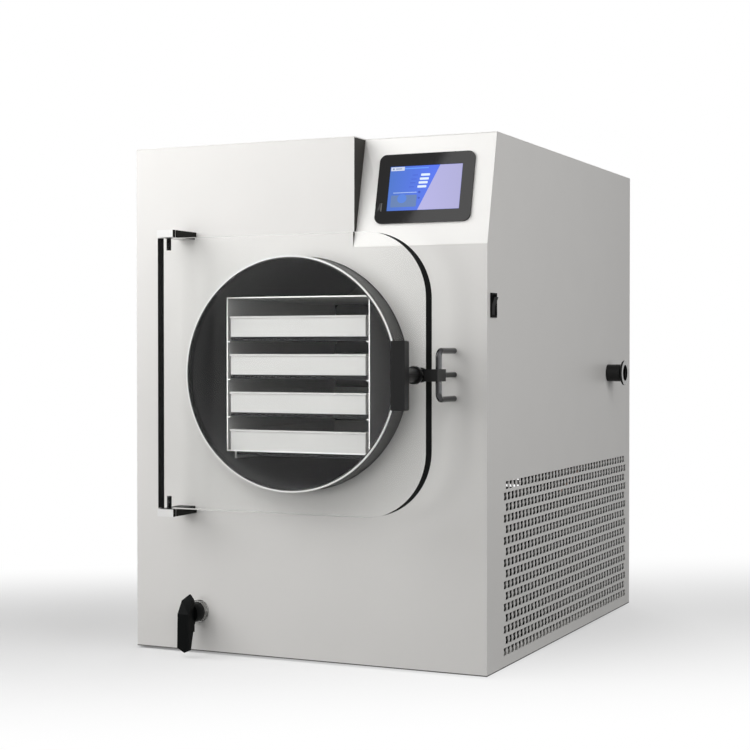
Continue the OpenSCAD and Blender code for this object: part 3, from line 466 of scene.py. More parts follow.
CABINET = Finish(
    "satin_enamel", (0.80, 0.787, 0.765), 0.45, size=0.0011, relief=0.000012, mottle=0.02, spread=0.03,
    specular=0.3,
)
CONSOLE = Finish(
    "bright_enamel", (0.94, 0.93, 0.905), 0.45, size=0.0011, relief=0.000012, mottle=0.01, spread=0.03,
    specular=0.3,
)
# painted shade: near-black colour on the rear panel's inner face for the shade inside the cabinet
REAR_INNER_SHADE = Finish("rear_inner_painted_shade", (0.012, 0.012, 0.012), 0.8, size=0.002, relief=0.00004, specular=0.05)
# painted shade: near-black colour for the shade on the hood's cheek beside the console
CHEEK_SHADE = Finish("cheek_painted_shade", (0.040, 0.038, 0.034), 0.5, mottle=0.08, specular=0.1)
# painted shade: the base pan is coloured dark for the shade low under the cabinet
PAN_SHADE = Finish("pan_painted_shade", (0.16, 0.158, 0.152), 0.6, mottle=0.05, specular=0.05)
# galvanised steel darkened as painted shade for the shaded inside of the cabinet; its patchy mottle is the
# metal's own
GALVANISED_SHADED = Finish(
    "galvanised_steel_painted_shade", (0.14, 0.142, 0.144), 0.45, 1.0, size=0.012, relief=0.00003, mottle=0.25,
    mottle_size=0.02,
)
SCREW = Finish("screw_steel", (0.62, 0.61, 0.59), 0.28, 1.0, size=0.0006, mottle=0.1, mottle_size=0.004)
NUT = Finish(
    "drain_nut", (0.32, 0.318, 0.31), 0.18, 1.0, size=0.0015, relief=0.000006, mottle=0.1, spread=0.03
)
DARK_CHROME = Finish(
    "dark_chrome", (0.06, 0.06, 0.062), 0.12, 1.0, size=0.002, relief=0.000004, mottle=0.04, spread=0.02
)
ARM = Finish(
    "painted_arm", (0.86, 0.855, 0.845), 0.35, grain=Grain.ALONG_Y, size=0.0005, relief=0.000004,
    specular=0.4,
)
# painted shade: near-black for the arms' right and top faces, which the lamps leave in shade
ARM_SHADE = Finish("arm_side", (0.006, 0.006, 0.005), 0.5, specular=0.08, size=0.0008, relief=0.000006)
NECK = Finish("neck_steel_painted_shade", (0.075, 0.074, 0.072), 0.36, 1.0, size=0.0009, relief=0.00001)
GASKET = Finish("gasket", (0.02, 0.02, 0.02), 0.5, spread=0.05, specular=0.15)
# painted shade: the chamber's inside is coloured near-black for the shade deep in the chamber
CHAMBER_INSIDE_SHADE = Finish("chamber_inside_painted_shade", (0.052, 0.052, 0.053), 0.45, mottle=0.1, specular=0.2)
FOAM = Finish(
    "closed_cell_foam", (0.03, 0.028, 0.027), 0.9, size=0.0022, relief=0.0004, mottle=0.3,
    mottle_size=0.03, specular=0.1,
)
COPPER = Finish("copper_tube", (0.42, 0.20, 0.12), 0.3, 1.0, size=0.003, mottle=0.35, mottle_size=0.03)
RACK = Finish("rack_steel", (0.77, 0.77, 0.76), 0.4, 0.4, Grain.ALONG_Y, size=0.0005, relief=0.000006)
TRAY = Finish("tray_steel", (0.63, 0.626, 0.613), 0.45, 0.15, Grain.ALONG_X, size=0.0006, relief=0.000008)
HEATER = Finish("heater_rubber", (0.018, 0.018, 0.019), 0.65, size=0.0016, relief=0.00008, specular=0.15)
RUBBER = Finish("black_rubber", (0.02, 0.02, 0.02), 0.75, size=0.0016, relief=0.00006, specular=0.15)
MOULDED = Finish(
    "moulded_black", (0.0025, 0.003, 0.003), 0.4, size=0.0009, relief=0.00003, mottle=0.15, specular=0.06
)
GLOSS_BLACK = Finish(
    "latch_black", (0.008, 0.008, 0.008), 0.35, relief=0.00001, mottle=0.15, specular=0.2
)
ROCKER = Finish("rocker_black", (0.014, 0.014, 0.0145), 0.5, size=0.001, relief=0.00001, specular=0.04)
EDGE_BLACK = Finish("edge_black", (0.004, 0.004, 0.004), 0.6, size=0.001, relief=0.00001, specular=0.02)
SHOT_BLACK = Finish(
    "compressor_black", (0.008, 0.008, 0.009), 0.4, size=0.002, relief=0.00006, coat=0.1, specular=0.2
)
# painted shade: the aluminium fins are coloured near-black for the shaded inside seen through the vents
FIN_SHADED = Finish("fin_aluminium", (0.022, 0.0225, 0.023), 0.4, 1.0, Grain.ALONG_Z, size=0.001, relief=0.00003)
FAN_GREY = Finish("fan_plastic", (0.012, 0.012, 0.013), 0.5, size=0.001, relief=0.00004, specular=0.15)
HOSE = Finish("silicone_hose", (0.40, 0.39, 0.37), 0.4, size=0.002, specular=0.2)
DRIER = Finish("drier_brass", (0.45, 0.31, 0.14), 0.35, 1.0, size=0.002, mottle=0.2, mottle_size=0.02)
BOX = Finish("perforated_box", (0.08, 0.081, 0.083), 0.45, 1.0, size=0.008, mottle=0.2, mottle_size=0.02)
BEZEL = Finish(
    "bezel_gloss", (0.006, 0.0055, 0.0055), 0.06, size=0.004, relief=0.0, spread=0.02, mottle=0.1,
    specular=0.25,
)
SLOT_GREY = Finish("slot_cover", (0.07, 0.066, 0.066), 0.5, size=0.0008)
VACUUM_PIPE = Finish("pipe_rubber", (0.03, 0.03, 0.031), 0.6, size=0.002, relief=0.00006, specular=0.15)
PORT_BLACK = Finish("port_black", (0.03, 0.03, 0.03), 0.3, 1.0, size=0.001, relief=0.000006)
PORT_FACE = Finish("port_face", (0.34, 0.335, 0.33), 0.35, 0.6, size=0.001, relief=0.000006)


# ---- shared making ----


def node_object(name: str) -> bpy.types.Object:
    """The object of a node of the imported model."""
    return frame["nodes"][name]


def ease_edges(target: bpy.types.Object, width: float, segments: int = 2) -> None:
    """Rounds an object's sharp edges with modifiers.

    Args:
        target: The object.
        width: The width of the rounding in metres.
        segments: How many steps the rounding has.
    """
    weld = target.modifiers.new("weld", "WELD")
    weld.merge_threshold = WELD
    bevel = target.modifiers.new("edges", "BEVEL")
    bevel.width = width
    bevel.segments = segments
    bevel.limit_method = "ANGLE"
    bevel.angle_limit = math.radians(EASED_ANGLE)
    bevel.use_clamp_overlap = True
    bevel.harden_normals = True


def dress(name: str, coating: Coating, ease: float = 0.0, segments: int = 2) -> None:
    """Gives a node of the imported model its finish, and rounds its sharp edges.

    Args:
        name: The node's name.
        coating: What it is finished in.
        ease: The width of the rounding in metres, 0 for none.
        segments: How many steps the rounding has.
    """
    target = node_object(name)
    made = coating.material()
    for slot in target.material_slots:
        slot.link = "OBJECT"
        slot.material = made
    if ease:
        ease_edges(target, ease, segments)
    LOG.info("dressed %s in %s", name, made.name)


def copy_of(name: str, piece: str) -> bpy.types.Object:
    """Copies a node's mesh, welded and smooth, into a new piece that stands for it.

    Args:
        name: The node's name.
        piece: The new piece's name.

    Returns:
        The new object, with no materials.
    """
    source = node_object(name)
    mesh = source.data.copy()
    mesh.name = piece
    mesh.materials.clear()
    built = bmesh.new()
    built.from_mesh(mesh)
    bmesh.ops.remove_doubles(built, verts=built.verts, dist=WELD)
    bmesh.ops.dissolve_degenerate(built, edges=built.edges, dist=WELD)
    bmesh.ops.dissolve_limit(
        built, angle_limit=math.radians(FLAT_ANGLE), verts=built.verts, edges=built.edges
    )
    built.to_mesh(mesh)
    built.free()
    kept = mesh.attributes.get("custom_normal")
    if kept is not None:
        mesh.attributes.remove(kept)
    mesh.set_sharp_from_angle(angle=math.radians(SHARP_ANGLE))
    target = bpy.data.objects.new(piece, mesh)
    bpy.context.scene.collection.objects.link(target)
    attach(target, source["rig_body"])
    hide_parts(name)
    LOG.info("made %s in place of %s", piece, name)
    return target


def paint_faces(
    target: bpy.types.Object,
    coatings: Sequence[Finish | Banded | ClearPlastic],
    choose: Callable[[bpy.types.MeshPolygon], bool],
) -> None:
    """Gives each face of a new piece one of two finishes.

    Args:
        target: The piece.
        coatings: The finish of most faces, and that of the chosen ones.
        choose: What says whether a face is one of the chosen.
    """
    for coating in coatings:
        target.data.materials.append(coating.material())
    for face in target.data.polygons:
        face.material_index = int(choose(face))


def new_piece(
    name: str, mesh: bpy.types.Mesh, body: str, coating: Finish | Glow
) -> bpy.types.Object:
    """Makes an object of a new mesh, puts it on a body and gives it its finish.

    Args:
        name: The piece's name.
        mesh: Its mesh.
        body: The body that it moves with.
        coating: Its finish.

    Returns:
        The new object.
    """
    target = bpy.data.objects.new(name, mesh)
    bpy.context.scene.collection.objects.link(target)
    mesh.materials.append(coating.material())
    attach(target, body)
    LOG.info("made %s", name)
    return target


@dataclass(frozen=True)
class Plane:
    """A flat place with its own directions, on which flat shapes are drawn.

    Args:
        origin: The point that is 0, 0.
        right: The direction of u.
        up: The direction of v.
        out: The direction away from the surface.
    """

    origin: Vector
    right: Vector
    up: Vector
    out: Vector

    def at(self, u: float, v: float, w: float) -> Vector:
        """The point at u, v, and w above the plane."""
        return self.origin + self.right * u + self.up * v + self.out * w


def slab_mesh(
    name: str, plane: Plane, outlines: Iterable[Sequence[Point2]], low: float, high: float
) -> bpy.types.Mesh:
    """Makes thin slabs on a plane.

    Args:
        name: The mesh's name.
        plane: Where the slabs lie.
        outlines: Each slab's outline, anticlockwise seen from outside, in metres.
        low: The height of their undersides above the plane.
        high: The height of their tops.

    Returns:
        A mesh of closed slabs.
    """
    built = bmesh.new()
    for outline in outlines:
        top = [built.verts.new(plane.at(u, v, high)) for u, v in outline]
        bottom = [built.verts.new(plane.at(u, v, low)) for u, v in outline]
        built.faces.new(top)
        built.faces.new(bottom[::-1])
        for i in range(len(outline)):
            j = (i + 1) % len(outline)
            built.faces.new([top[i], bottom[i], bottom[j], top[j]])
    mesh = bpy.data.meshes.new(name)
    built.to_mesh(mesh)
    built.free()
    return mesh


def rounded(centre: Point2, size: Point2, radius: float, steps: int = 4) -> list[Point2]:
    """Draws a rectangle with round corners.

    Args:
        centre: Its centre.
        size: Its width and height.
        radius: The radius of its corners.
        steps: How many pieces each corner has.

    Returns:
        The outline, anticlockwise.
    """
    points = []
    for sx, sy, start in ((1, 1, 0), (-1, 1, 90), (-1, -1, 180), (1, -1, 270)):
        cx = centre[0] + sx * (size[0] / 2 - radius)
        cy = centre[1] + sy * (size[1] / 2 - radius)
        for i in range(steps + 1):
            turn = math.radians(start + 90 * i / steps)
            points.append((cx + radius * math.cos(turn), cy + radius * math.sin(turn)))
    return points


# ---- cabinet ----


@dataclass
class Cabinet:
    """The sheet-steel cabinet, its frame and its feet.

    Args:
        edge: The rounding of the panels' folded edges.
        foot_edge: The rounding of the feet.
        cheek_depth: How near the hood's cheek a face has to be to count as the cheek.
    """

    edge: float = 0.5 * MM
    foot_edge: float = 0.8 * MM
    cheek_depth: float = 0.3 * MM

    def build(self) -> None:
        """Dresses the panels and makes those that have two finishes."""
        self.front()
        self.rear()
        dress("top_cover", CABINET, self.edge)
        dress("left_side_panel", CABINET)
        dress("right_side_panel", CABINET)
        dress("console_panel", CONSOLE, self.edge)
        dress("base_pan", PAN_SHADE)
        dress("inner_frame", GALVANISED_SHADED)
        dress("feet", RUBBER, self.foot_edge)
        dress("rear_screws", SCREW, self.edge)

    def front(self) -> None:
        """Makes the front panel, whose cheek beside the console is painted near-black as painted shade."""
        cheek_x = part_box("console_panel")[0].x
        piece = copy_of("front_panel", "front_panel_skin")
        paint_faces(
            piece,
            (CABINET, CHEEK_SHADE),
            lambda face: face.normal.x > FACING and abs(face.center.x - cheek_x) < self.cheek_depth,
        )
        ease_edges(piece, self.edge)

    def rear(self) -> None:
        """Makes the rear panel, whose inner face is painted near-black as painted shade for the dark inside
        of the cabinet.
        """
        piece = copy_of("rear_panel", "rear_panel_skin")
        paint_faces(piece, (CABINET, REAR_INNER_SHADE), lambda face: face.normal.y < -FACING)


# ---- console ----


@dataclass(frozen=True)
class Mark:
    """A shape on the display's page, as shares of the window from its upper left corner.

    Args:
        across: Its centre from the left.
        down: Its centre from the top.
        width: Its width.
        height: Its height.
        radius: The radius of its corners in metres.
    """

    across: float
    down: float
    width: float
    height: float
    radius: float = 0.4 * MM


@dataclass(frozen=True)
class Layer:
    """Marks that share a colour and a height.

    Args:
        name: The piece's name.
        level: Its place in the stack of layers.
        marks: Its marks.
        colour: Its colour.
        second: The colour that it fades to on the window's right, where it fades.
    """

    name: str
    level: int
    marks: tuple[Mark, ...]
    colour: Colour
    second: Colour | None = None


READOUT_ROWS = (0.21, 0.30, 0.385, 0.475)  # how far down the window the readouts are
ROW_SHIFT = -0.012  # how far each row is to the right of the one above
READOUTS = tuple(
    Mark(0.50 + ROW_SHIFT * i, row, 0.125, 0.052, 1.0 * MM) for i, row in enumerate(READOUT_ROWS)
)
CAPTIONS = tuple(Mark(0.355 + ROW_SHIFT * i, row, 0.075, 0.018) for i, row in enumerate(READOUT_ROWS))
PAGE = (
    Layer("page_tag", 1, (Mark(0.105, 0.055, 0.19, 0.085),), (0.62, 0.68, 0.82)),
    Layer(
        "page_tag_mark",
        2,
        (Mark(0.045, 0.055, 0.022, 0.036), Mark(0.12, 0.055, 0.085, 0.02)),
        (0.16, 0.24, 0.5),
    ),
    Layer("page_header", 1, (Mark(0.37, 0.055, 0.33, 0.022),), (0.13, 0.36, 1.0), (0.13, 0.30, 1.0)),
    Layer("page_readouts", 1, READOUTS, (0.75, 0.86, 1.0)),
    Layer("page_captions", 1, CAPTIONS, (0.045, 0.11, 0.62)),
    Layer("page_rule", 1, (Mark(0.235, 0.60, 0.33, 0.014),), (0.45, 0.60, 0.92)),
    Layer("page_block", 1, (Mark(0.225, 0.79, 0.36, 0.27, 1.5 * MM),), (0.12, 0.21, 0.44)),
    Layer("page_dial", 2, (Mark(0.20, 0.735, 0.13, 0.20, 6.8 * MM),), (0.085, 0.22, 0.72)),
    Layer(
        "page_dots",
        1,
        (Mark(0.435, 0.60, 0.034, 0.05, 1.8 * MM), Mark(0.435, 0.73, 0.03, 0.04, 1.6 * MM)),
        (0.028, 0.075, 0.5),
    ),
)


@dataclass
class Console:
    """The touch screen on the sloping console: bezel, lit display and its drawn page.

    Args:
        toward: Roughly where the display's face points.
        facing: How squarely a face of the display has to point there to be its face.
        lift: How far the drawn shapes stand over the display's face.
        layer: How far apart the layers are.
        filled: The share of that which a layer fills.
        corner: The largest corner radius as a share of a mark's size, just under a half.
        ground: The page's colours at the window's left and where the sheen begins.
        ground_fade: The share of the window's width over which the ground changes.
        sheen: The colours of the painted reflection, a pale corner of the window for the glare on the
            screen's glass, at the window's left and right.
        sheen_top: Where the pale corner starts along the top edge.
        sheen_low: Where it starts along the lower edge.
        bezel_edge: The rounding of the bezel.
        slot_at: The slot cover's place, from the bezel's left edge and the display's middle.
        slot_size: Its width and height.
        slot_corner: The radius of its corners.
        slot_heights: The heights of its back and its face over the display.
        slot_edge: The rounding of its edges.
    """

    toward: tuple[float, float, float] = (0.0, -1.0, 0.2)
    facing: float = 0.95
    lift: float = 0.04 * MM
    layer: float = 0.08 * MM
    filled: float = 0.9
    corner: float = 1 / 2.01
    ground: tuple[Colour, Colour] = ((0.062, 0.17, 0.60), (0.072, 0.16, 0.85))
    ground_fade: float = 0.6
    sheen: tuple[Colour, Colour] = ((0.50, 0.48, 0.85), (0.40, 0.39, 0.66))
    sheen_top: float = 0.694
    sheen_low: float = 0.428
    bezel_edge: float = 0.6 * MM
    slot_at: Point2 = (8.5 * MM, -26.0 * MM)
    slot_size: Point2 = (2.6 * MM, 12.4 * MM)
    slot_corner: float = 1.0 * MM
    slot_heights: Point2 = (-1.6 * MM, 0.2 * MM)
    slot_edge: float = 0.25 * MM
    plane: Plane = field(init=False)
    size: Point2 = field(init=False)

    def __post_init__(self) -> None:
        """Finds the display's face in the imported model."""
        mesh = node_object("display_panel").data
        toward = Vector(self.toward).normalized()
        faces = [face for face in mesh.polygons if face.normal.dot(toward) > self.facing]
        out = faces[0].normal.normalized()
        right = Vector((1.0, 0.0, 0.0))
        up = out.cross(right).normalized()
        corners = [mesh.vertices[i].co for face in faces for i in face.vertices]
        us = [corner.dot(right) for corner in corners]
        vs = [corner.dot(up) for corner in corners]
        height = corners[0].dot(out)
        centre = right * (max(us) + min(us)) / 2 + up * (max(vs) + min(vs)) / 2 + out * height
        self.size = (max(us) - min(us), max(vs) - min(vs))
        self.plane = Plane(centre, right, up, out)

    def build(self) -> None:
        """Dresses the bezel and display and draws the page."""
        dress("screen_bezel", BEZEL, self.bezel_edge, segments=3)
        dress("display_housing", FAN_GREY)
        dress("display_panel", Glow("page_ground", *self.ground, self.span(self.ground_fade)))
        half_u, half_v = self.size[0] / 2, self.size[1] / 2
        # painted reflection: the pale corner stands for glare on the screen's glass
        corner = [self.spot(self.sheen_low, 1.0), (half_u, -half_v), (half_u, half_v)]
        self.draw("painted_screen_glare", 0, [corner + [self.spot(self.sheen_top, 0.0)]], self.sheen)
        for layer in PAGE:
            outlines = [self.outline(mark) for mark in layer.marks]
            self.draw(layer.name, layer.level, outlines, (layer.colour, layer.second or layer.colour))
        self.slot_cover()

    def spot(self, across: float, down: float) -> Point2:
        """Turns shares of the window, from its upper left corner, into plane coordinates."""
        return ((across - 0.5) * self.size[0], (0.5 - down) * self.size[1])

    def span(self, share: float = 1.0) -> Point2:
        """Gives the X of the window's left edge and the X at a share of its width."""
        left = self.plane.origin.x - self.size[0] / 2
        return (left, left + self.size[0] * share)

    def outline(self, mark: Mark) -> list[Point2]:
        """Draws a mark on the plane.

        Args:
            mark: The mark.

        Returns:
            Its outline.
        """
        size = (mark.width * self.size[0], mark.height * self.size[1])
        radius = min(mark.radius, size[0] * self.corner, size[1] * self.corner)
        return rounded(self.spot(mark.across, mark.down), size, radius)

    def draw(
        self, name: str, level: int, outlines: Iterable[Sequence[Point2]], colours: tuple[Colour, Colour]
    ) -> None:
        """Makes one layer of the page.

        Args:
            name: The piece's name.
            level: Its place in the stack of layers.
            outlines: Its shapes.
            colours: Its colours at the window's left and right.
        """
        low = self.lift + level * self.layer
        mesh = slab_mesh(name, self.plane, outlines, low, low + self.layer * self.filled)
        new_piece(name, mesh, "cabinet", Glow(name, *colours, self.span()))

    def slot_cover(self) -> None:
        """Makes the small cover in the bezel's slot."""
        low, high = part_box("screen_bezel")
        centre = ((low.x - high.x) / 2 + self.slot_at[0], self.slot_at[1])
        outline = rounded(centre, self.slot_size, self.slot_corner)
        mesh = slab_mesh("slot_cover", self.plane, [outline], *self.slot_heights)
        piece = new_piece("slot_cover", mesh, "cabinet", SLOT_GREY)
        ease_edges(piece, self.slot_edge)


# ---- chamber ----


@dataclass
class Chamber:
    """The round vacuum chamber with its gasket, jacket and cold coil.

    Args:
        lip: How much smaller the shell's neck is round than the gasket.
        inner_share: The share of the neck's radius within which a face is the inside.
        back_depth: How far before the shell's rear end the back of its inside can be.
        neck_back: The neck's colour at the front panel, where Y is 0, darker than near the gasket as
            painted shade.
        ring: The width of the gasket's pale ring, a painted highlight.
        ring_depth: How far back the ring's colour goes.
        ring_colour: The ring's colour, a painted highlight.
        edge: The rounding of the gasket.
    """

    lip: float = 1.0 * MM
    inner_share: float = 0.993
    back_depth: float = 34.0 * MM
    neck_back: Colour = (0.015, 0.015, 0.015)
    ring: float = 2.6 * MM
    ring_depth: float = 1.0 * MM
    ring_colour: Colour = (0.93, 0.925, 0.91)
    edge: float = 0.5 * MM

    def build(self) -> None:
        """Makes the shell and dresses the other nodes."""
        low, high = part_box("door_gasket")
        axis = ((low.x + high.x) / 2, (low.z + high.z) / 2)
        radius = (high.x - low.x) / 2
        self.vessel(axis, radius - self.lip, high.y)
        start, end = radius - self.ring, low.y + self.ring_depth
        # painted highlight: a pale ring on the gasket's front edge
        gasket = Ringed(GASKET, self.ring_colour, NECK.colour, axis, start, end)
        dress("door_gasket", gasket, self.edge)
        dress("chamber_insulation", FOAM)
        dress("cold_coil", COPPER)
        dress("chamber_cradle", GALVANISED_SHADED)
        dress("temperature_probe", SCREW)

    def vessel(self, axis: Point2, radius: float, front: float) -> None:
        """Makes the shell, painted near-black inside as painted shade, with a steel neck outside that
        darkens towards the front panel as painted shade.

        Args:
            axis: The X and Z of its axis.
            radius: The outer radius of its neck.
            front: The Y of the gasket's rear face, behind which the neck shows.
        """
        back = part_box("chamber_shell")[1].y - self.back_depth

        def inside(face: bpy.types.MeshPolygon) -> bool:
            """Says whether a face is one of the chamber's inside."""
            away = Vector((face.center.x - axis[0], 0.0, face.center.z - axis[1]))
            facing_in = face.normal.dot(away) < 0 and away.length < radius * self.inner_share
            return facing_in or (face.normal.y < -FACING and face.center.y > back)

        piece = copy_of("chamber_shell", "chamber_vessel")
        # painted shade: the neck darkens from the gasket back to the front panel
        neck = Banded(NECK, self.neck_back, (front, 0.0))
        paint_faces(piece, (neck, CHAMBER_INSIDE_SHADE), inside)


# ---- rack ----


@dataclass
class TrayRack:
    """The rack with its heating shelves and four trays.

    Args:
        edge: The rounding of the rack's edges.
        hem: The rounding of the trays' hems.
        trays: How many trays there are.
    """

    edge: float = 0.35 * MM
    hem: float = 0.5 * MM
    trays: int = 4

    def build(self) -> None:
        """Dresses the rack, the shelves and the trays."""
        dress("rack_frame", RACK, self.edge)
        dress("heating_shelves", HEATER)
        for number in range(1, self.trays + 1):
            dress(f"tray_{number}", TRAY, self.hem)


# ---- door ----


@dataclass
class Door:
    """The clear door plate, whose left and right edge faces are painted black as painted shade, and its
    hinges.

    Args:
        side: How far a face of the plate has to turn to the side to be painted black as painted shade.
        arm_side: How far a face of an arm has to turn right or up to get the arms' painted shade.
    """

    side: float = 0.2
    arm_side: float = 0.7

    def build(self) -> None:
        """Makes the plate and the arms, and dresses the rest of the hinges."""
        plate = copy_of("door_plate", "door_glazing")
        # painted shade: the plate's left and right edge faces are black, its top and bottom edges stay
        # clear
        paint_faces(plate, (ClearPlastic(), EDGE_BLACK), lambda face: abs(face.normal.x) > self.side)
        for name in ("upper", "lower"):
            arm = copy_of(f"hinge_arm_{name}", f"arm_{name}")
            # the arms' right and top faces get painted shade, the rest keeps the arm's paint
            paint_faces(
                arm, (ARM, ARM_SHADE), lambda face: max(face.normal.x, face.normal.z) > self.arm_side
            )
        dress("hinge_bushes", MOULDED)
        dress("hinge_pins", SCREW)
        dress("hinge_screws", SCREW)


# ---- latch ----


@dataclass
class Latch:
    """The bar-handled latch on the door, and its hoop and keeper on the cabinet.

    Args:
        grip: The rounding of the handle.
        cam_edge: The rounding of the cam.
        keeper_edge: The rounding of the keeper.
        bushing_edge: The rounding of the bushing.
    """

    grip: float = 1.2 * MM
    cam_edge: float = 0.6 * MM
    keeper_edge: float = 0.7 * MM
    bushing_edge: float = 0.4 * MM

    def build(self) -> None:
        """Dresses the latch and the hoop."""
        dress("latch_handle", GLOSS_BLACK, self.grip, segments=3)
        dress("latch_cam", GLOSS_BLACK, self.cam_edge)
        dress("latch_keeper", GLOSS_BLACK, self.keeper_edge)
        dress("latch_bushing", GLOSS_BLACK, self.bushing_edge)
        dress("latch_nut", GLOSS_BLACK)
        dress("latch_spindle", SCREW)
        dress("latch_hoop", DARK_CHROME)
        dress("hoop_nuts", SCREW)


# ---- drain ----


@dataclass
class Drain:
    """The drain valve with its lever, nut and hose.

    Args:
        lever_edge: The rounding of the lever.
        edge: The rounding of the valve's body and nut.
    """

    lever_edge: float = 1.0 * MM
    edge: float = 0.4 * MM

    def build(self) -> None:
        """Dresses the valve."""
        dress("drain_lever", MOULDED, self.lever_edge, segments=3)
        dress("drain_valve_body", MOULDED, self.edge)
        dress("drain_nut", NUT, self.edge)
        dress("drain_hose", HOSE)


# ---- vacuum line ----


@dataclass
class VacuumLine:
    """The flanged port on the side and the pipe to the chamber.

    Args:
        face: How near its outer end a face has to be to count as the flange's face.
        edge: The rounding of the port.
    """

    face: float = 0.2 * MM
    edge: float = 0.3 * MM

    def build(self) -> None:
        """Makes the port, dark along its tube and bright on its flange's face, and dresses the pipe."""
        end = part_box("vacuum_port")[1].x
        port = copy_of("vacuum_port", "flanged_port")
        paint_faces(
            port,
            (PORT_BLACK, PORT_FACE),
            lambda face: face.normal.x > FACING and end - face.center.x < self.face,
        )
        ease_edges(port, self.edge)
        dress("vacuum_pipe", VACUUM_PIPE)


# ---- refrigeration and electrics ----


@dataclass
class ColdDeck:
    """The refrigeration parts behind the side vents.

    Args:
        shroud_edge: The rounding of the fan's shroud.
        blade_edge: The rounding of its blades.
    """

    shroud_edge: float = 1.0 * MM
    blade_edge: float = 0.5 * MM

    def build(self) -> None:
        """Dresses the compressor, condenser, fan and pipes."""
        dress("compressor", SHOT_BLACK)
        dress("compressor_mounts", RUBBER)
        dress("condenser_core", FIN_SHADED)
        dress("fan_shroud", FAN_GREY, self.shroud_edge)
        dress("fan_motor", GALVANISED_SHADED)
        dress("fan_blades", FAN_GREY, self.blade_edge)
        dress("refrigerant_pipes", COPPER)
        dress("filter_drier", DRIER)


@dataclass
class Electrics:
    """The power switch, the inlet and the boxes inside.

    Args:
        edge: The rounding of the switch and the inlet.
        box_edge: The rounding of the boxes.
    """

    edge: float = 0.4 * MM
    box_edge: float = 1.0 * MM

    def build(self) -> None:
        """Dresses the electric parts."""
        dress("switch_housing", EDGE_BLACK, self.edge)
        dress("switch_rocker", ROCKER, self.edge)
        dress("power_inlet", MOULDED, self.edge)
        dress("control_box", BOX, self.box_edge)
        dress("power_supply", BOX, self.box_edge)


# ---- studio ----


def area_lamp(name: str, size: Point2, power: float) -> bpy.types.Object:
    """Makes an area lamp that cameras don't see.

    Args:
        name: The lamp's name.
        size: Its width and height.
        power: Its power in watts.

    Returns:
        The lamp, at the origin and facing down.
    """
    lamp = bpy.data.lights.new(name, "AREA")
    lamp.shape = "RECTANGLE"
    lamp.size, lamp.size_y = size
    lamp.energy = power
    target = bpy.data.objects.new(name, lamp)
    target.visible_camera = False
    bpy.context.scene.collection.objects.link(target)
    return target


@dataclass(frozen=True)
class SoftBox:
    """A square area lamp that faces the object.

    Args:
        name: The lamp's name.
        azimuth: Its direction from the front, in degrees to the right.
        elevation: Its height above the horizon in degrees.
        distance: How far it is from the aim.
        size: Its width.
        power: Its power in watts.
        mirrored: Whether glossy surfaces show it.
    """

    name: str
    azimuth: float
    elevation: float
    distance: float
    size: float
    power: float
    mirrored: bool = True

    def build(self, aim: Vector) -> None:
        """Makes the lamp.

        Args:
            aim: The point that it faces.
        """
        around, rise = math.radians(self.azimuth), math.radians(self.elevation)
        flat = math.cos(rise)
        way = Vector((math.sin(around) * flat, -math.cos(around) * flat, math.sin(rise)))
        target = area_lamp(self.name, (self.size, self.size), self.power)
        target.location = aim + way * self.distance
        target.rotation_euler = (-way).to_track_quat("-Z", "Y").to_euler()
        target.visible_glossy = self.mirrored


@dataclass(frozen=True)
class Glint:
    """A narrow area lamp that only glossy surfaces show, for the reflection on the console's screen.

    Args:
        place: Its middle.
        turn: Its turn in degrees about X, Y and Z.
        size: Its width and height.
        power: Its power in watts.
    """

    place: tuple[float, float, float] = (-0.3338, -1.5900, 1.4289)
    turn: tuple[float, float, float] = (58.5, 14.81, -35.54)
    size: Point2 = (0.3, 0.5)
    power: float = 1.34

    def build(self) -> None:
        """Makes the lamp."""
        target = area_lamp("glint", self.size, self.power)
        target.location = self.place
        target.rotation_euler = Euler([math.radians(angle) for angle in self.turn])
        target.visible_diffuse = False
        target.visible_transmission = False


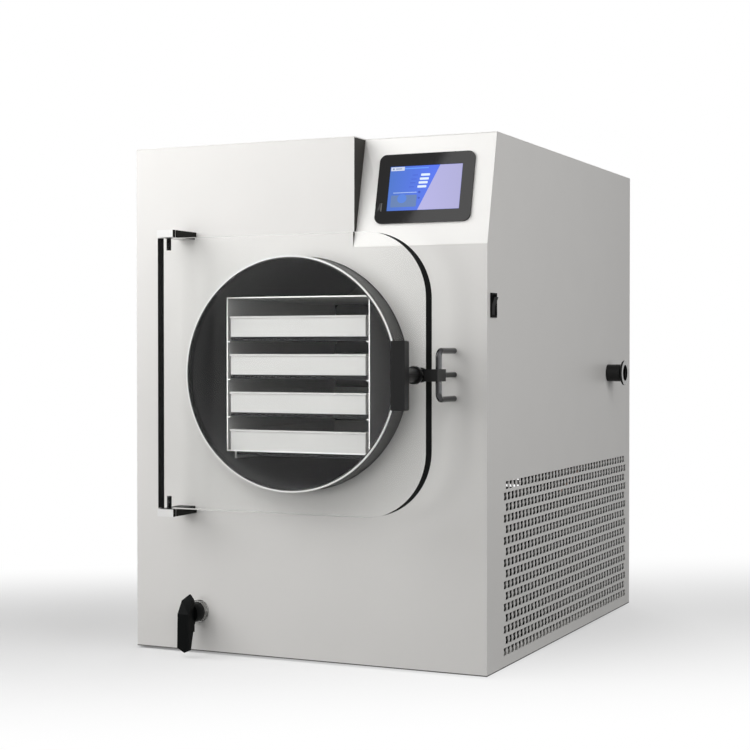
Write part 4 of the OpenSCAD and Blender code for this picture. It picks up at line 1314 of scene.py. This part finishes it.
@dataclass
class Studio:
    """The camera, lamps, world and floor.

    Args:
        eye: The camera's place.
        turn: The camera's turn in degrees about X and Z.
        lens: The camera's focal length in millimetres.
        sensor: The width of its sensor in millimetres.
        aim: What the lamps face.
        lamps: The soft boxes.
        glint: The reflection on the screen.
        ambient: The world's level for the object.
        floor_half: Half of the floor's width.
        floor_bounce: The share of the light that the floor gives back to the object.
        floor_tone: The floor's level where its shade shows.
        floor_depth: How much of the floor's shade shows in its band, on the left and on the right.
        floor_middle: How far to the left and right of the middle those are.
        floor_slant: How much further back the band is for each metre to the right.
        floor_near: Where the band starts and is full, from the object's middle along the view.
        floor_beyond: Where it starts to fade and has ended.
        floor_aside: How far to either side of the middle it starts to fade and has ended.
    """

    eye: tuple[float, float, float] = (1.01245, -2.27355, 0.4387)
    turn: Point2 = (89.1, 24.75)
    lens: float = 76.62
    sensor: float = 36.0
    aim: tuple[float, float, float] = (0.0, 0.0, 0.4)
    lamps: tuple[SoftBox, ...] = (
        SoftBox("key_top", -20.0, 40.0, 1.4, 1.0, 5.9, False),
        SoftBox("key_left", -60.0, 30.0, 1.7, 1.2, 14.4),
        SoftBox("fill_left", -45.0, 10.0, 2.2, 1.6, 5.5, False),
        SoftBox("fill_low", -15.0, -5.0, 2.0, 1.0, 8.5, False),
        SoftBox("fill_front", 20.0, 20.0, 2.2, 1.6, 6.8),
        SoftBox("side_high", 60.0, 40.0, 2.8, 1.6, 9.9),
        SoftBox("side_low", 75.0, 10.0, 2.8, 1.6, 23.5),
        SoftBox("back_fill", 202.0, 6.0, 2.5, 1.2, 22.0, False),
    )
    glint: Glint = Glint()
    ambient: float = 0.01
    floor_half: float = 9.0
    floor_bounce: float = 0.07
    floor_tone: float = 0.71
    floor_depth: Point2 = (0.98, 0.38)
    floor_middle: Point2 = (-0.5, 0.5)
    floor_slant: float = 0.16
    floor_near: Point2 = (-0.68, 0.08)
    floor_beyond: Point2 = (0.08, 0.85)
    floor_aside: Point2 = (1.5, 2.4)

    def build(self) -> None:
        """Makes the whole studio."""
        self.camera()
        for lamp in self.lamps:
            lamp.build(Vector(self.aim))
        self.glint.build()
        self.world()
        self.floor()
        bpy.context.scene.view_settings.view_transform = "Standard"
        LOG.info("made the studio, with %d lamps", len(self.lamps) + 1)

    def camera(self) -> None:
        """Makes the camera."""
        lens = bpy.data.cameras.new("camera")
        lens.lens = self.lens
        lens.sensor_width = self.sensor
        target = bpy.data.objects.new("camera", lens)
        target.location = self.eye
        target.rotation_euler = Euler((math.radians(self.turn[0]), 0.0, math.radians(self.turn[1])))
        bpy.context.scene.collection.objects.link(target)
        bpy.context.scene.camera = target

    def world(self) -> None:
        """Makes a world that is white to look at and a low plain light on the object."""
        world = bpy.data.worlds.new("studio")
        bpy.context.scene.world = world
        tree = Tree(world)
        level = tree.spread(tree.seen(), self.ambient, 1.0, (0.0, 1.0))
        tree.show(tree.add("ShaderNodeBackground", {"Color": WHITE, "Strength": level}))

    def floor(self) -> None:
        """Makes a pale floor that keeps the object's shadow and is white far away."""
        mesh = bpy.data.meshes.new("floor")
        half = self.floor_half
        corners = [(-half, -half, 0.0), (half, -half, 0.0), (half, half, 0.0), (-half, half, 0.0)]
        mesh.from_pydata(corners, [], [(0, 1, 2, 3)])
        mesh.materials.append(self.floor_paper())
        target = bpy.data.objects.new("floor", mesh)
        bpy.context.scene.collection.objects.link(target)

    def floor_paper(self) -> bpy.types.Material:
        """Builds the floor's finish, white to look at but for a band of painted shadow round the object, in
        which the lamps' real shadows also show.

        Returns:
            The material.
        """
        tree = Tree.of_material("floor_paper")
        seen = tree.seen()
        tone = tree.blend(seen, scaled(WHITE, self.floor_bounce), scaled(WHITE, self.floor_tone))
        paper = tree.add("ShaderNodeBsdfDiffuse", {"Color": tone})
        white = tree.add("ShaderNodeEmission", {"Color": WHITE})
        place = tree.place()
        around = math.radians(self.turn[1])
        along = tree.measure("DOT_PRODUCT", place, (-math.sin(around), math.cos(around), 0.0))
        across = tree.measure("DOT_PRODUCT", place, (math.cos(around), math.sin(around), 0.0))
        slanted = tree.math("MULTIPLY_ADD", across, -self.floor_slant, along)
        rise = tree.spread(slanted, 0.0, 1.0, self.floor_near, "SMOOTHSTEP")
        fall = tree.spread(slanted, 1.0, 0.0, self.floor_beyond, "SMOOTHSTEP")
        aside = tree.spread(tree.math("ABSOLUTE", across), 1.0, 0.0, self.floor_aside, "SMOOTHSTEP")
        depth = tree.spread(across, *self.floor_depth, self.floor_middle)
        # painted shadow: the band where the floor shows its lamp-lit tone instead of white
        shade = tree.math("MULTIPLY", tree.math("MINIMUM", rise, fall), tree.math("MULTIPLY", aside, depth))
        share = tree.math("MULTIPLY", tree.math("SUBTRACT", 1.0, shade), seen)
        return tree.show(tree.mixed(share, paper, white))


# ---- making ----


def main() -> None:
    """Builds the studio and every sub-assembly in order."""
    logging.basicConfig(level=logging.INFO, format="%(message)s")
    Studio().build()
    for assembly in (
        Cabinet(),
        Console(),
        Chamber(),
        TrayRack(),
        Door(),
        Latch(),
        Drain(),
        VacuumLine(),
        ColdDeck(),
        Electrics(),
    ):
        assembly.build()


if __name__ == "__main__":
    main()
